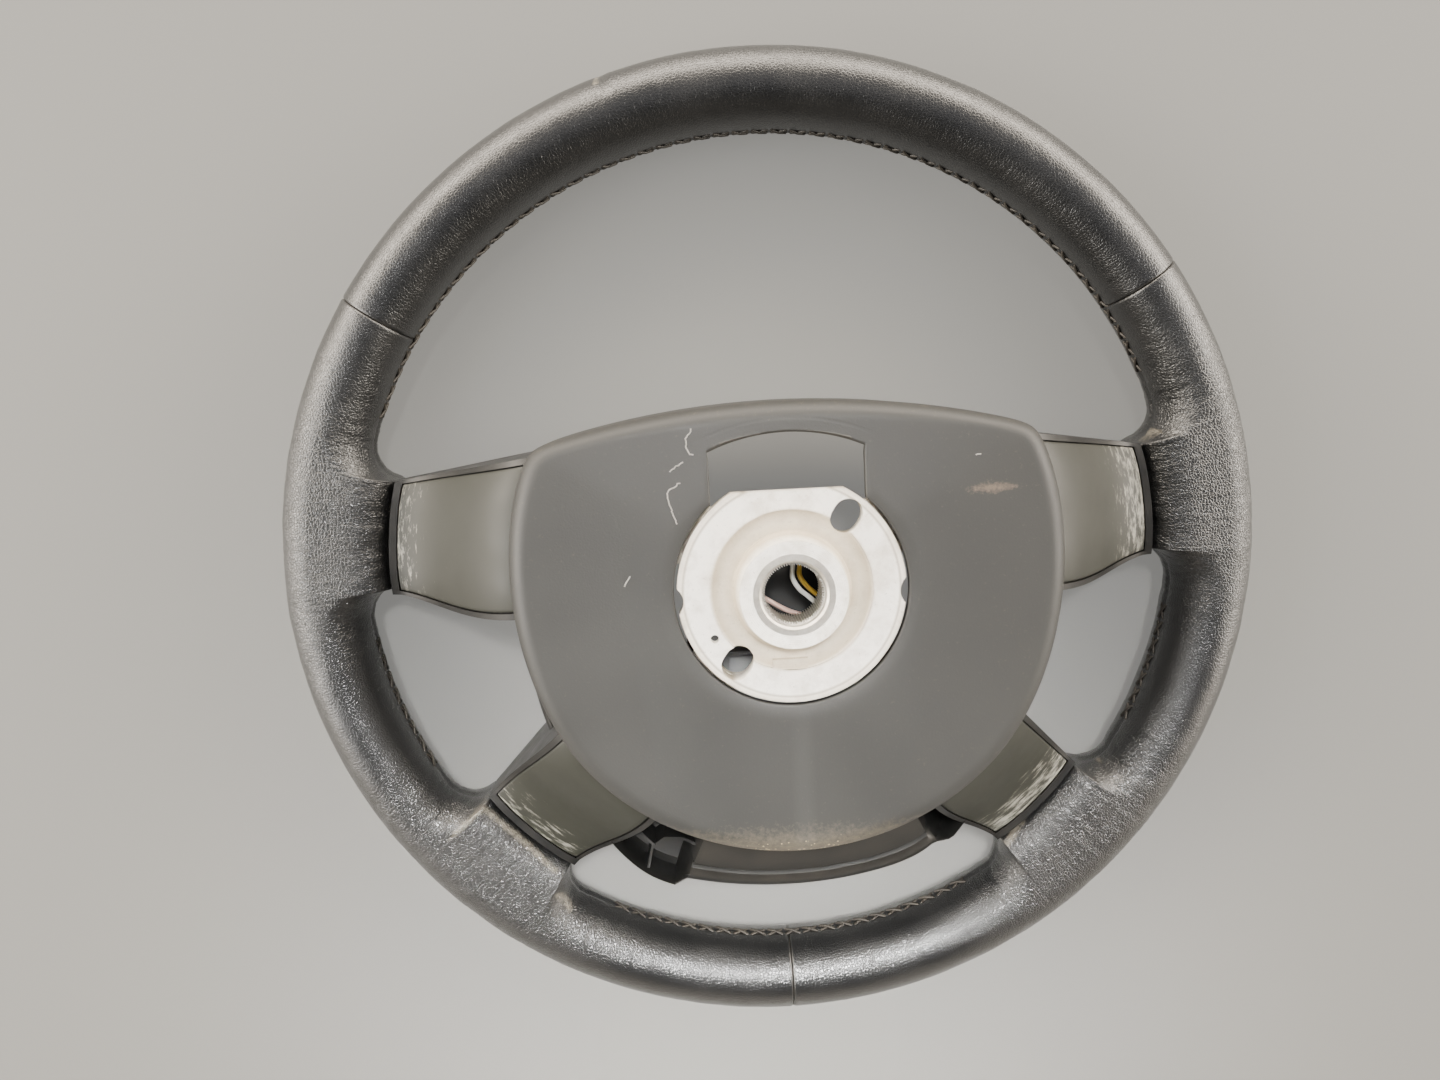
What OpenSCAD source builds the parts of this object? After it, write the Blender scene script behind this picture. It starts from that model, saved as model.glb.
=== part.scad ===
// Car steering wheel with four spokes and a leather rim, shown without its airbag.
// It lies on the front of its rim with the column side up: +Z points to the steering column and
// +Y to the top of the wheel. The origin is the middle of the plane that the rim lies on.

/* [Rim] */
// Outside diameter of the leather rim
rim_od = 380; // [374:1:386]
// Width of the grip, across the rim
grip_w = 30; // [28:0.5:31]
// Depth of the grip, along the column
grip_d = 37; // [35:0.5:39]
// Thickness of the leather
leather_t = 1.4; // [1.2:0.1:1.8]
// Diameter of the steel ring inside the rim
core_d = 9; // [8:0.5:10]
// Angle of the two upper leather seams from the top of the wheel
seam_angle = 56; // [52:1:60]
// Depth of the groove where two leather panels meet
seam_groove = 0.9; // [0.6:0.1:1.2]

/* [Spokes] */
// Angle of an upper spoke above the horizontal, at the rim
upper_angle = 6.2; // [5.6:0.2:6.8]
// Angle of a lower spoke below the horizontal, at the rim
lower_angle = 46; // [45:0.5:47]
// Half the angle that a spoke takes up at the rim
spoke_half_angle = 8.1; // [7.7:0.1:8.5]
// How far the leather runs in along a spoke from the rim
leather_run = 13; // [12:0.5:14]
// Radius of the round corner between the rim and a spoke
horn_fillet = 13; // [11:0.5:14]
// Half the depth of a leather spoke end
horn_half = 12.5; // [12:0.25:13]
// Thickness of the spoke trims
trim_t = 2.2; // [1.8:0.1:2.6]
// How far below the cover's face a trim meets its wall
trim_drop = 25; // [23:0.5:27]
// How far a trim's rim end stands above the middle of the rim
trim_rise = 14; // [13:0.5:15.5]

/* [Back cover] */
// Half the width of the back cover
cover_half_w = 92.3; // [90:0.5:94]
// Height of the cover's top edge above the hub
cover_top = 61; // [59:0.5:63]
// Depth of the cover's lower edge below the hub
cover_low = 92; // [90:0.5:94]
// Height of the cover's flat face
cover_z = 99; // [98:0.25:100]
// Depth of the back cover, down to where the front bezel begins
cover_depth = 35; // [33:0.5:37]
// Wall of the back cover and of the front bezel
shell_t = 2.6; // [2.2:0.1:3]
// Radius of the cover's round hole for the hub
cover_hole_r = 38.2; // [38:0.1:39]
// Width of the cable window above the hub
window_w = 50; // [46:1:52]
// Height of the window's corners above the hub
window_corner = 44.4; // [43:0.2:46]

/* [Hub] */
// Radius of the hub plate that shows in the cover's hole
hub_r = 37.2; // [36.6:0.1:37.4]
// How far the hub plate's back face lies below the cover's face
hub_sink = 0.5; // [0:0.25:1]
// Thickness of the hub plate
hub_t = 7; // [6:0.5:8]
// Height of the boss above the hub plate
boss_h = 8; // [7:0.5:9.5]
// Radius of the cast boss
boss_r = 17.4; // [16.5:0.1:18]
// Outside radius of the steel splined sleeve
sleeve_r = 13.2; // [12.8:0.1:13.8]
// Radius over the tips of the inside teeth
tooth_tip_r = 9.2; // [9:0.1:9.4]
// Radius at the roots of the inside teeth
tooth_root_r = 9.9; // [9.7:0.1:10.1]
// Number of inside teeth
teeth = 72; // [60:2:80]
// Radius of the plain pilot bore at the mouth
pilot_r = 10.4; // [10.3:0.1:10.8]
// Length of the plain pilot bore
pilot_l = 2.5; // [2:0.25:3]

/* [Front] */
// Height of the front bezel's front face above the rim plane
bezel_z = 9; // [8:0.5:10]
// Half the width of the front bezel
bezel_half_w = 97; // [95:0.5:99]
// Height of the bezel's top edge above the hub
bezel_top = 57; // [55:0.5:59]
// Gap between the bezel's lower edge and the rim
gap_below = 29; // [28:0.5:31]
// Width of the bezel's inward lip round the airbag opening
lip_w = 9; // [8:0.5:10]
// Travel of the horn contact pins
horn_travel = 2.5; // [2:0.25:2.75]

/* [Hidden] */

$fn = 64;
fit = 0.3;        // clearance between pieces that only lie side by side
snug = 0.05;      // clearance round a shank or a bush
overrun = 1;      // how far a cut runs past the face it leaves
rib_t = 3.6;      // side ribs of a cast spoke
spoke_w = 18;     // width of a cast spoke

// The rim's section: an oval, read round from its outer side.
section_n = 16;
rim_r = rim_od / 2 - grip_w / 2;
rim_z = grip_d / 2;
leather_end_r = rim_r - grip_w / 2 - leather_run;
bezel_low = rim_r - grip_w / 2 - gap_below;
split_z = cover_z - cover_depth;
hub_z = cover_z - hub_sink;
plate_low = hub_z - hub_t;
boss_z = hub_z + boss_h;
trim_in_z = cover_z - trim_drop;
trim_out_z = rim_z + trim_rise;
seam_turn = 0.5;  // angle over which a panel's edge turns in to its seam
glue = 0.2;       // layer between the leather and the foam

function polar(r, a) = [r * cos(a), r * sin(a)];
function mix(a, b, s) = a + (b - a) * s;
function steps(a, b, n) = [for (i = [0:n - 1]) mix(a, b, i / n)];
function total(v, i = 0) = i < len(v) - 1 ? v[i] + total(v, i + 1) : v[i];
function flat(v) = [for (list = v) for (item = list) item];

// How far a ray from the hub at angle a reaches to a circle, and to the inside of several of them.
function reach(a, centre, r) =
    let (along = centre * polar(1, a)) along + sqrt(along * along - centre * centre + r * r);
function inside_all(list, hardness) = pow(total([for (x = list) pow(x, -hardness)]), -1 / hardness);

// The outline of the back cover: a flat arc on top, two side arcs and one round arc below.
side_arc = 135;
top_arc = 300;
low_arc_share = 1.033;    // radius of the lower arc, as a share of the cover's depth below the hub
side_rise = 8;            // height of the middle of the side arcs
corner_hardness = 46;
function cover_reach(a) = inside_all([
    reach(a, [0, cover_top - top_arc], top_arc),
    reach(a, [cover_half_w - side_arc, side_rise], side_arc),
    reach(a, [side_arc - cover_half_w, side_rise], side_arc),
    reach(a, [0, cover_low * low_arc_share - cover_low], cover_low * low_arc_share)],
    corner_hardness);

// The outline of the front bezel, which bows out below between the lower spokes.
bezel_side_arc = 150;
bezel_side_drop = 18;     // height of the middle of the bezel's side arcs, below the hub
bezel_low_arc = 171;
function bezel_reach(a) = inside_all([
    reach(a, [0, bezel_top - top_arc], top_arc),
    reach(a, [bezel_half_w - bezel_side_arc, -bezel_side_drop], bezel_side_arc),
    reach(a, [bezel_side_arc - bezel_half_w, -bezel_side_drop], bezel_side_arc),
    reach(a, [0, bezel_low_arc - bezel_low], bezel_low_arc)],
    corner_hardness);

// Sheets of points are closed into solids here: a loop of rings, a stack of rings with flat ends,
// and a slab between an upper and a lower grid.
function quad(a, b, c, d) = [[a, b, c], [a, c, d]];
module ring_stack(rings, closed) {
    n = len(rings[0]);
    m = len(rings);
    last = closed ? m - 1 : m - 2;
    walls = flat([for (i = [0:last]) for (j = [0:n - 1])
        let (k = (i + 1) % m, l = (j + 1) % n)
        quad(i * n + j, k * n + j, k * n + l, i * n + l)]);
    ends = closed ? [] : flat([for (j = [0:n - 1]) let (l = (j + 1) % n)
        [[j, l, m * n], [(m - 1) * n + l, (m - 1) * n + j, m * n + 1]]]);
    polyhedron(points = concat(flat(rings), [total(rings[0]) / n, total(rings[m - 1]) / n]),
        faces = concat(walls, ends));
}
module slab(low, high) {
    m = len(low);
    n = len(low[0]);
    half = m * n;
    cells = [for (i = [0:m - 2]) for (j = [0:n - 2]) [i * n + j, i * n + j + 1, (i + 1) * n + j + 1, (i + 1) * n + j]];
    edge = concat([for (j = [0:n - 2]) j], [for (i = [0:m - 2]) i * n + n - 1],
        [for (j = [n - 1:-1:1]) (m - 1) * n + j], [for (i = [m - 1:-1:1]) i * n]);
    polyhedron(points = concat(flat(low), flat(high)), faces = concat(
        flat([for (c = cells) quad(c[0], c[1], c[2], c[3])]),
        flat([for (c = cells) quad(c[3] + half, c[2] + half, c[1] + half, c[0] + half)]),
        flat([for (k = [0:len(edge) - 1]) let (a = edge[k], b = edge[(k + 1) % len(edge)])
            quad(b, a, a + half, b + half)])));
}

// A tube swept along points, with a ring of the given sides across each point.
function along(p, i) = let (a = p[max(i - 1, 0)], b = p[min(i + 1, len(p) - 1)]) (b - a) / norm(b - a);
function across(d) = let (up = abs(d[2]) < 0.9 ? [0, 0, 1] : [1, 0, 0], s = cross(up, d)) s / norm(s);
module tube(path, r, sides) {
    ring_stack([for (i = [0:len(path) - 1])
        let (d = along(path, i), u = across(d), v = cross(d, u))
        [for (k = [0:sides - 1]) path[i] + r * (cos(360 * k / sides) * u + sin(360 * k / sides) * v)]],
        false);
}

// A point of the rim's skin. Where a spoke joins, the inner side reaches in to the leather's end.
// inset is how far the skin lies under the leather's outside.
horn_square = 0.6;
function oval(q, inset) = [rim_r + (grip_w / 2 - inset) * cos(q), (grip_d / 2 - inset) * sin(q)];
function horn(q, inset) =
    let (tall = mix(horn_half - inset, grip_d / 2 - inset, pow(sin(q), 2)))
    [rim_r - (rim_r - leather_end_r - inset) * pow(abs(cos(q)), horn_square),
        tall * sign(sin(q)) * pow(abs(sin(q)), horn_square)];
function skin(q, share, inset) = cos(q) >= 0 ? oval(q, inset) : mix(oval(q, inset), horn(q, inset), share);
function rim_section(a, share, inset) = [for (j = [0:section_n - 1])
    let (p = skin(360 * j / section_n, share, inset)) [p[0] * cos(a), p[0] * sin(a), rim_z + p[1]]];

// Places round the rim, as [angle, share of a spoke end]. A fillet is a quarter circle.
function horn_rise(middle, side, inset) =
    let (wide = spoke_half_angle - inset / leather_end_r * 180 / PI,
        round = (horn_fillet + inset) / leather_end_r * 180 / PI)
    [for (b = [0:22.5:90]) [middle + side * (wide + round * (1 - sin(b))), 1 - cos(b)]];
function reversed(v) = [for (i = [len(v) - 1:-1:0]) v[i]];
function horn_places(middle, inset) = concat(horn_rise(middle, -1, inset), [[middle, 1]],
    reversed(horn_rise(middle, 1, inset)));
function plain_places(a, b, n) = [for (t = steps(a, b, n + 1)) [t, 0]];
function between(a, b, n) = [for (i = [1:n - 1]) [mix(a, b, i / n), 0]];
function right_places(inset) = let (
    low = horn_places(-lower_angle, inset), up = horn_places(upper_angle, inset),
    first = -90, final = 90 - seam_angle)
    concat([[first, 0], [first + seam_turn, 0]], between(first + seam_turn, low[0][0], 5), low,
        between(low[len(low) - 1][0], up[0][0], 4), up,
        between(up[len(up) - 1][0], final - seam_turn, 3), [[final - seam_turn, 0], [final, 0]]);
function top_places() = let (first = 90 - seam_angle, final = 90 + seam_angle)
    concat([[first, 0], [first + seam_turn, 0]], between(first + seam_turn, final - seam_turn, 20),
        [[final - seam_turn, 0], [final, 0]]);

module leather_panel(outer, inner) {
    m = len(outer);
    n = section_n;
    out = [for (i = [0:m - 1])
        rim_section(outer[i][0], outer[i][1], i == 0 || i == m - 1 ? seam_groove : 0)];
    inn = [for (p = inner) rim_section(p[0], p[1], leather_t)];
    half = m * n;
    end = (m - 1) * n;
    points = concat(flat(out), flat(inn));
    walls = flat([for (i = [0:m - 2]) for (j = [0:n - 1])
        let (l = (j + 1) % n, a = i * n + j, b = i * n + l, c = a + n, d = b + n)
        concat(quad(a, b, d, c), quad(a + half, c + half, d + half, b + half))]);
    caps = flat([for (j = [0:n - 1]) let (l = (j + 1) % n)
        concat(quad(j, j + half, l + half, l), quad(end + j, end + l, end + l + half, end + j + half))]);
    polyhedron(points = points, faces = concat(walls, caps));
}

// The way in for a cast spoke, cut in the end of the leather or the foam.
slot_side = 2;
module spoke_line(side) {
    translate([0, rim_r * sin(upper_angle), 0]) children();
    rotate([0, 0, -lower_angle]) children();
}
module spoke_slots(clear) {
    low = spoke_end_low - clear;
    tall = spoke_end_high - spoke_end_low + 2 * clear;
    wide = spoke_w + 2 * clear;
    for (side = [0, 1]) mirror([side, 0, 0]) spoke_line()
        translate([leather_end_r - horn_fillet, -wide / 2, low])
            cube([rim_r - leather_end_r + horn_fillet, wide, tall]);
}
spoke_end_half = 6;       // half the depth of a cast spoke where it enters the rim
spoke_end_low = rim_z - spoke_end_half;
spoke_end_high = rim_z + spoke_end_half;

module leather_right() color("#26272a") difference() {
    leather_panel(right_places(0), right_places(leather_t));
    spoke_slots(slot_side);
}
module leather_left() mirror([1, 0, 0]) leather_right();
module leather_top() color("#26272a") leather_panel(top_places(), top_places());

// Moulded foam over the steel ring, with the four spoke ends in it.
sleeve_wall = 4;
sleeve_half = 5;          // half the angle of a cast collar round the ring
module ring_space(r, half_angle) {
    rotate_extrude(angle = 2 * half_angle, start = -half_angle) translate([rim_r, rim_z]) circle(r = r);
}
module rim_foam() color("#3a3a3c") difference() {
    inset = leather_t + glue;
    right = right_places(inset);
    left = reversed([for (p = right) [180 - p[0], p[1]]]);
    places = concat(right, [for (p = top_places()) if (p[0] > 90 - seam_angle && p[0] < 90 + seam_angle) p],
        [for (i = [0:len(left) - 2]) left[i]]);
    ring_stack([for (p = reversed(places)) rim_section(p[0], p[1], inset)], true);
    rotate_extrude() translate([rim_r, rim_z]) circle(r = core_d / 2 + snug);
    for (a = [upper_angle, -lower_angle, 180 - upper_angle, 180 + lower_angle])
        rotate([0, 0, a]) ring_space(core_d / 2 + sleeve_wall + snug, sleeve_half + snug);
    spoke_slots(snug);
}
module rim_core() color("#6f7072") rotate_extrude() translate([rim_r, rim_z]) circle(r = core_d / 2);

// Cast frame: hub plate with its boss, four spokes with side ribs, and collars round the ring.
groove_in = 19.6;         // shallow round groove in the plate's back face
groove_out = 26.5;
groove_deep = 1.6;
boss_foot = 2;            // cone at the foot of the boss
flat_y = 32.3;            // flat on the plate's top edge, under the cable window
oval_x = 18.6;            // oval hole for the contact unit, and its twin across the hub
oval_y = 23.3;
oval_tilt_angle = 55;
oval_r = 4.9;
oval_long = 1.8;
pin_hole_x = 25.7;
pin_hole_y = 14.7;
pin_hole_r = 1.4;
notch_r = 6;              // notches in the plate's left and right edge
notch_depth = 2;
notch_y = 2;
pad_x = 1.5;              // raised cast pad
pad_y = 24.2;
pad_l = 11.5;
pad_w = 3.4;
pad_h = 0.7;
horn_x = 58;              // places of the horn contacts
horn_low_y = 54;
horn_pad_sink = 10.5;
horn_pad_top = hub_z - horn_pad_sink;
horn_pad_t = 10;
horn_pad_r = 10;
screw_r = 2;
cover_screw_x = 44;
cover_screw_r = 52;
screw_sink = 12.5;
screw_seat = hub_z - screw_sink;
screw_boss_r = 6.2;
screw_boss_t = 7;
bezel_screw_back = 25;    // distance of the bezel screws from the leather's end
bezel_boss_h = 8.4;
bezel_pad_t = 11;
bezel_boss_top = bezel_z + shell_t + bezel_boss_h;
bezel_pad_top = bezel_boss_top + bezel_pad_t;
bezel_screw_shank = 1.8;
bridge_t = 6;             // web between the lower spokes that carries the lower contact
bridge_sink = 2;
bridge_half = 48;
bridge_shares = [[-1, 0.17], [1, 0.17], [0.83, -0.08], [0.3, -0.25], [-0.3, -0.25], [-0.83, -0.08]];

function upper_y() = rim_r * sin(upper_angle);
spoke_root = 22;          // where a spoke leaves the hub plate, inside its edge
// Upper and lower line of a spoke seen from its side: places from the hub to the leather's end, and
// heights from the rim to the hub plate, as shares.
upper_line_shares = [[0, 0.969], [0.288, 0.869], [0.528, 0.494], [0.704, 0.244], [0.944, 0.1], [1, 0.075]];
lower_line_shares = [[0.944, -0.075], [0.688, 0.044], [0.496, 0.319], [0.272, 0.744], [0, 0.931]];
function side_line(shares) = [for (k = shares)
    [mix(spoke_root, leather_end_r, k[0]), mix(rim_z, hub_z, k[1])]];
spoke_upper_line = concat(side_line(upper_line_shares), [[rim_r - sleeve_wall, spoke_end_high]]);
spoke_lower_line = concat([[rim_r - sleeve_wall, spoke_end_low]], side_line(lower_line_shares));
spoke_web_line = [for (p = reversed(spoke_lower_line)) p + [0, rib_t]];

module cast_spoke() {
    side = spoke_w / 2;
    for (s = [-1, 1]) translate([0, s * (side - rib_t / 2), 0])
        rotate([90, 0, 0]) linear_extrude(rib_t, center = true)
            polygon(concat(spoke_upper_line, spoke_lower_line));
    rotate([90, 0, 0]) linear_extrude(spoke_w - rib_t, center = true)
        polygon(concat(spoke_web_line, spoke_lower_line));
}
module at_horns() {
    for (s = [-1, 1]) translate([s * horn_x, upper_y(), 0]) children();
    translate([0, -horn_low_y, 0]) children();
}
module at_cover_screws() {
    for (s = [0, 1]) mirror([s, 0, 0]) {
        translate([cover_screw_x, upper_y(), 0]) children();
        rotate([0, 0, -lower_angle]) translate([cover_screw_r, 0, 0]) children();
    }
}
module at_bezel_screws() {
    for (s = [0, 1]) mirror([s, 0, 0]) spoke_line()
        translate([leather_end_r - bezel_screw_back, 0, 0]) children();
}
module bar(r, low, high) translate([0, 0, low]) cylinder(r = r, h = high - low);
module hub_plate() {
    bar(hub_r, plate_low, hub_z);
    bar(boss_r, plate_low, boss_z);
    translate([0, 0, hub_z]) cylinder(r1 = boss_r + boss_foot, r2 = boss_r, h = boss_h / 2);
    translate([-pad_x, -pad_y, hub_z - groove_deep])
        linear_extrude(groove_deep + pad_h) square([pad_l, pad_w], center = true);
}
module hub_cuts() {
    difference() {
        bar(groove_out, hub_z - groove_deep, hub_z + overrun);
        bar(groove_in, hub_z - groove_deep - overrun, hub_z + 2 * overrun);
        translate([-pad_x, -pad_y, hub_z]) cube([pad_l, pad_w, 4 * groove_deep], center = true);
    }
    for (turn = [0, 180]) rotate([0, 0, turn]) translate([oval_x, oval_y, 0]) rotate([0, 0, oval_tilt_angle])
        for (s = [-1, 1]) translate([s * oval_long / 2, 0, 0]) {
            bar(oval_r, plate_low - hub_t, hub_z + overrun);
            translate([-s * oval_long / 2, 0, (plate_low + hub_z) / 2])
                cube([oval_long, 2 * oval_r, 3 * hub_t], center = true);
        }
    translate([-pin_hole_x, -pin_hole_y, 0]) bar(pin_hole_r, post_top - hub_t, hub_z + overrun);
    for (s = [-1, 1]) translate([s * (hub_r + notch_r - notch_depth), -notch_y, 0])
        bar(notch_r, plate_low - overrun, hub_z + overrun);
    translate([-hub_r, flat_y, plate_low - overrun])
        cube([2 * hub_r, hub_r, hub_t + 2 * overrun]);
    bar(sleeve_r, plate_low - overrun, boss_z + overrun);
}
module armature() color("#b9b2a8") difference() {
    union() {
        difference() {
            union() {
                hub_plate();
                for (s = [0, 1]) mirror([s, 0, 0]) spoke_line() cast_spoke();
                translate([0, -horn_low_y, horn_pad_top - bridge_sink - bridge_t])
                    linear_extrude(bridge_t) polygon(bridge_half * bridge_shares);
            }
            at_horns() bar(horn_head_r + 3 * fit, 0, horn_pad_top - horn_pad_t);
        }
        at_horns() bar(horn_pad_r, horn_pad_top - horn_pad_t, horn_pad_top);
        at_cover_screws() bar(screw_boss_r, screw_seat - screw_boss_t, screw_seat);
        at_bezel_screws() bar(screw_boss_r, bezel_boss_top, bezel_pad_top);
        for (s = [0, 1]) mirror([s, 0, 0]) for (a = [upper_angle, -lower_angle])
            rotate([0, 0, a]) ring_space(core_d / 2 + sleeve_wall, sleeve_half);
    }
    hub_cuts();
    rotate_extrude() translate([rim_r, rim_z]) circle(r = core_d / 2 + snug);
    at_horns() bar(horn_bush_r + snug, 0, cover_z);
    at_cover_screws() {
        bar(screw_r + snug, 0, cover_z);
        bar(screw_boss_r, screw_seat, cover_z);
        bar(2 * screw_r + fit, 0, screw_seat - screw_boss_t);
    }
    at_bezel_screws() {
        bar(bezel_screw_shank + snug, 0, bezel_pad_top + overrun);
        bar(screw_boss_r, bezel_pad_top, cover_z);
        bar(screw_boss_r, 0, bezel_boss_top);
    }
}

// Steel sleeve with inside teeth, cast into the boss.
module spline_sleeve() color("#d2d0ca") difference() {
    bar(sleeve_r, plate_low, boss_z);
    tooth_top = boss_z - pilot_l - mouth;
    turn = 360 / teeth;
    translate([0, 0, plate_low - overrun]) linear_extrude(tooth_top - plate_low + overrun)
        polygon(flat([for (i = [0:teeth - 1]) [polar(tooth_tip_r, i * turn), polar(tooth_tip_r, (i + 0.3) * turn),
            polar(tooth_root_r, (i + 0.5) * turn), polar(tooth_root_r, (i + 0.8) * turn)]]));
    bar(pilot_r, tooth_top, boss_z + overrun);
    translate([0, 0, boss_z - mouth]) cylinder(r1 = pilot_r, r2 = pilot_r + mouth, h = mouth);
    translate([0, 0, boss_z - snug]) cylinder(r = pilot_r + mouth, h = overrun);
}
mouth = 0.8;

// Back cover: a shallow pan with a gently domed face and a round edge.
around = 60;              // points round an outline
cover_round = 7;
dome = 2.6;               // fall of the cover's face from the hub to its edge
function outline_ring(level, inward, share) = [for (i = [0:around - 1])
    let (a = 360 * i / around, r = mix(cover_reach(a), bezel_reach(a), share) - inward)
    [r * cos(a), r * sin(a), level]];
function dome_ring(share, sink) = [for (i = [0:around - 1])
    let (a = 360 * i / around, r = (cover_reach(a) - cover_round) * share)
    [r * cos(a), r * sin(a), cover_z - dome * share * share - sink]];
module cover_pan(sink) {
    edge = cover_round - sink;
    ring_stack(concat(
        [outline_ring(split_z - (sink > 0 ? overrun : 0), sink, 0)],
        [for (b = [0:22.5:67.5]) outline_ring(
            cover_z - dome - cover_round + edge * sin(b), cover_round - edge * cos(b), 0)],
        [for (share = [1, 0.7, 0.35]) dome_ring(share, sink)]), false);
}
window_arc = 62;
window_rise = 6.6;        // rise of the window's arched top above its corners
module hub_window(low, high) {
    translate([0, 0, low]) linear_extrude(high - low) union() {
        circle(r = cover_hole_r);
        intersection() {
            translate([-window_w / 2, 0]) square([window_w, cover_top]);
            translate([0, window_corner + window_rise - window_arc]) circle(r = window_arc);
        }
    }
}
module back_cover() color("#55575a") difference() {
    union() {
        difference() {
            cover_pan(0);
            cover_pan(shell_t);
        }
        at_cover_screws() bar(screw_boss_r - 2 * fit, screw_seat, cover_z - dome);
    }
    hub_window(cover_z - 3 * shell_t, cover_z + overrun);
    at_cover_screws() bar(screw_r - snug, screw_seat - overrun, cover_z - dome - shell_t - overrun);
}

// One spoke's curved surface, from its rim end at s = 0 to the cover at s = 1 and from its lower
// edge at t = 0 to its upper edge at t = 1. more widens it on both sides.
ramp_share = 0.75;        // how far a spoke's climb is flattened at both ends
bow_share = 0.048;        // outward bow of a spoke's lower edge, as a share of its length
collar = 3.4;             // gap between the leather's end and the trim
upper_in = [11.1, 15.7];  // middle and half angle of an upper spoke where it meets the cover
lower_in = [-46.3, 12.8];
upper_out = [upper_angle, spoke_half_angle];
lower_out = [-lower_angle, spoke_half_angle];
crown = 1.2;
function spoke_xy(out, inn, s, t, more) =
    let (u = 2 * t - 1, r0 = leather_end_r - collar,
        a0 = out[0] + u * (out[1] + more / r0 * 180 / PI),
        a1 = inn[0] + u * (inn[1] + 1.6 * more / cover_half_w * 180 / PI),
        p0 = polar(r0, a0), p1 = polar(cover_reach(a1) + fit, a1),
        p = mix(p0, p1, s), d = p0 - p1)
    p + (1 - t) * bow_share * sin(180 * min(max(s, 0), 1)) * [d[1], -d[0]];
function spoke_z(s) = let (u = min(max(s, 0), 1))
    mix(trim_out_z, trim_in_z, mix(u, u * u * (3 - 2 * u), ramp_share));
function spoke_grid(out, inn, s_list, t_n, more, sink) = [for (s = s_list) [for (j = [0:t_n])
    let (t = j / t_n, p = spoke_xy(out, inn, s, t, more))
    [p[0], p[1], spoke_z(s) - crown * pow(2 * t - 1, 4) - sink]]];
function level_grid(out, inn, s_list, t_n, more, level) = [for (s = s_list) [for (j = [0:t_n])
    let (p = spoke_xy(out, inn, s, j / t_n, more)) [p[0], p[1], level]]];
trim_steps = [for (i = [0:7]) i / 7];
arm_reach = leather_end_r - collar - cover_half_w;    // length of a trim
collar_step = -(collar - fit) / arm_reach;
gap_step = fit / arm_reach;
root_step = 0.06;
strip_w = 1.5;            // edge of the bezel that shows beside a trim
ledge_w = 1.6;            // step under a trim's edge

module trim(out, inn) color("#565a50") {
    slab(spoke_grid(out, inn, trim_steps, 6, 0, trim_t), spoke_grid(out, inn, trim_steps, 6, 0, 0));
}
module trim_upper_right() trim(upper_out, upper_in);
module trim_lower_right() trim(lower_out, lower_in);
module trim_upper_left() mirror([1, 0, 0]) trim_upper_right();
module trim_lower_left() mirror([1, 0, 0]) trim_lower_right();

// Front bezel: a deep frame round the airbag opening, with four hollow arms under the trims.
bezel_floor = bezel_z + shell_t;
lip_round = 5.5;
// The frame's wall below the cover: how far down it is, and how far out to the bezel's outline, as
// shares. Between the lower spokes it makes a rolled lip, a ledge and a ridge.
wall_shares = [[0.6, 1], [0.5, 0.98], [0.42, 0.92], [0.38, 0.83], [0.37, 0.74], [0.3, 0.7], [0.2, 0.46],
    [0, 0]];
inner_wall_shares = [[0, 0], [0.24, 0.5], [0.46, 0.82], [0.64, 1]];
module bezel_frame() {
    front = [for (b = [0:45:90]) outline_ring(bezel_z + lip_round * (1 - cos(b)), lip_round * (1 - sin(b)), 1)];
    outside = [for (k = wall_shares) outline_ring(mix(split_z, bezel_z, k[0]), 0, k[1])];
    inside = [for (k = inner_wall_shares) outline_ring(mix(split_z, bezel_z, k[0]), shell_t, k[1])];
    ring_stack(concat([outline_ring(bezel_z, lip_w, 1)], front, outside, inside,
        [outline_ring(bezel_floor + shell_t, lip_w / 2, 1), outline_ring(bezel_floor, lip_w, 1)]), true);
}
// The arm drops to the cover's front edge just before the cover's wall and runs on under it.
module arm_outside(out, inn) {
    along_arm = concat([collar_step], trim_steps, [1 + gap_step / 2, 1 + root_step]);
    wide = strip_w + fit;
    rows = spoke_grid(out, inn, along_arm, 4, wide, 0);
    root = level_grid(out, inn, along_arm, 4, wide, split_z - snug);
    slab(level_grid(out, inn, along_arm, 4, wide, bezel_z + snug),
        [for (i = [0:len(rows) - 1]) along_arm[i] > 1 ? root[i] : rows[i]]);
}
module arm_inside(out, inn) {
    groove = [0, 0.5, 1, 1 + 4 * root_step];
    recess = concat([-gap_step], trim_steps, [1 + root_step]);
    slab(level_grid(out, inn, groove, 4, -ledge_w, bezel_floor),
        level_grid(out, inn, groove, 4, -ledge_w, cover_z));
    slab(spoke_grid(out, inn, recess, 6, fit, trim_t + snug),
        level_grid(out, inn, recess, 6, fit, cover_z));
}
module front_bezel() color("#2c2e30") {
    difference() {
        union() {
            bezel_frame();
            for (s = [0, 1]) mirror([s, 0, 0]) {
                arm_outside(upper_out, upper_in);
                arm_outside(lower_out, lower_in);
            }
        }
        for (s = [0, 1]) mirror([s, 0, 0]) {
            arm_inside(upper_out, upper_in);
            arm_inside(lower_out, lower_in);
            spoke_line() translate([leather_end_r - 2 * collar, -spoke_w / 2 - fit, spoke_end_low - fit])
                cube([3 * collar, spoke_w + 2 * fit, 2 * spoke_end_half + collar]);
        }
    }
    at_bezel_screws() difference() {
        bar(screw_boss_r - 2 * fit, bezel_floor - overrun, bezel_boss_top);
        bar(bezel_screw_shank - snug, bezel_floor + snug, bezel_boss_top + overrun);
    }
}

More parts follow.
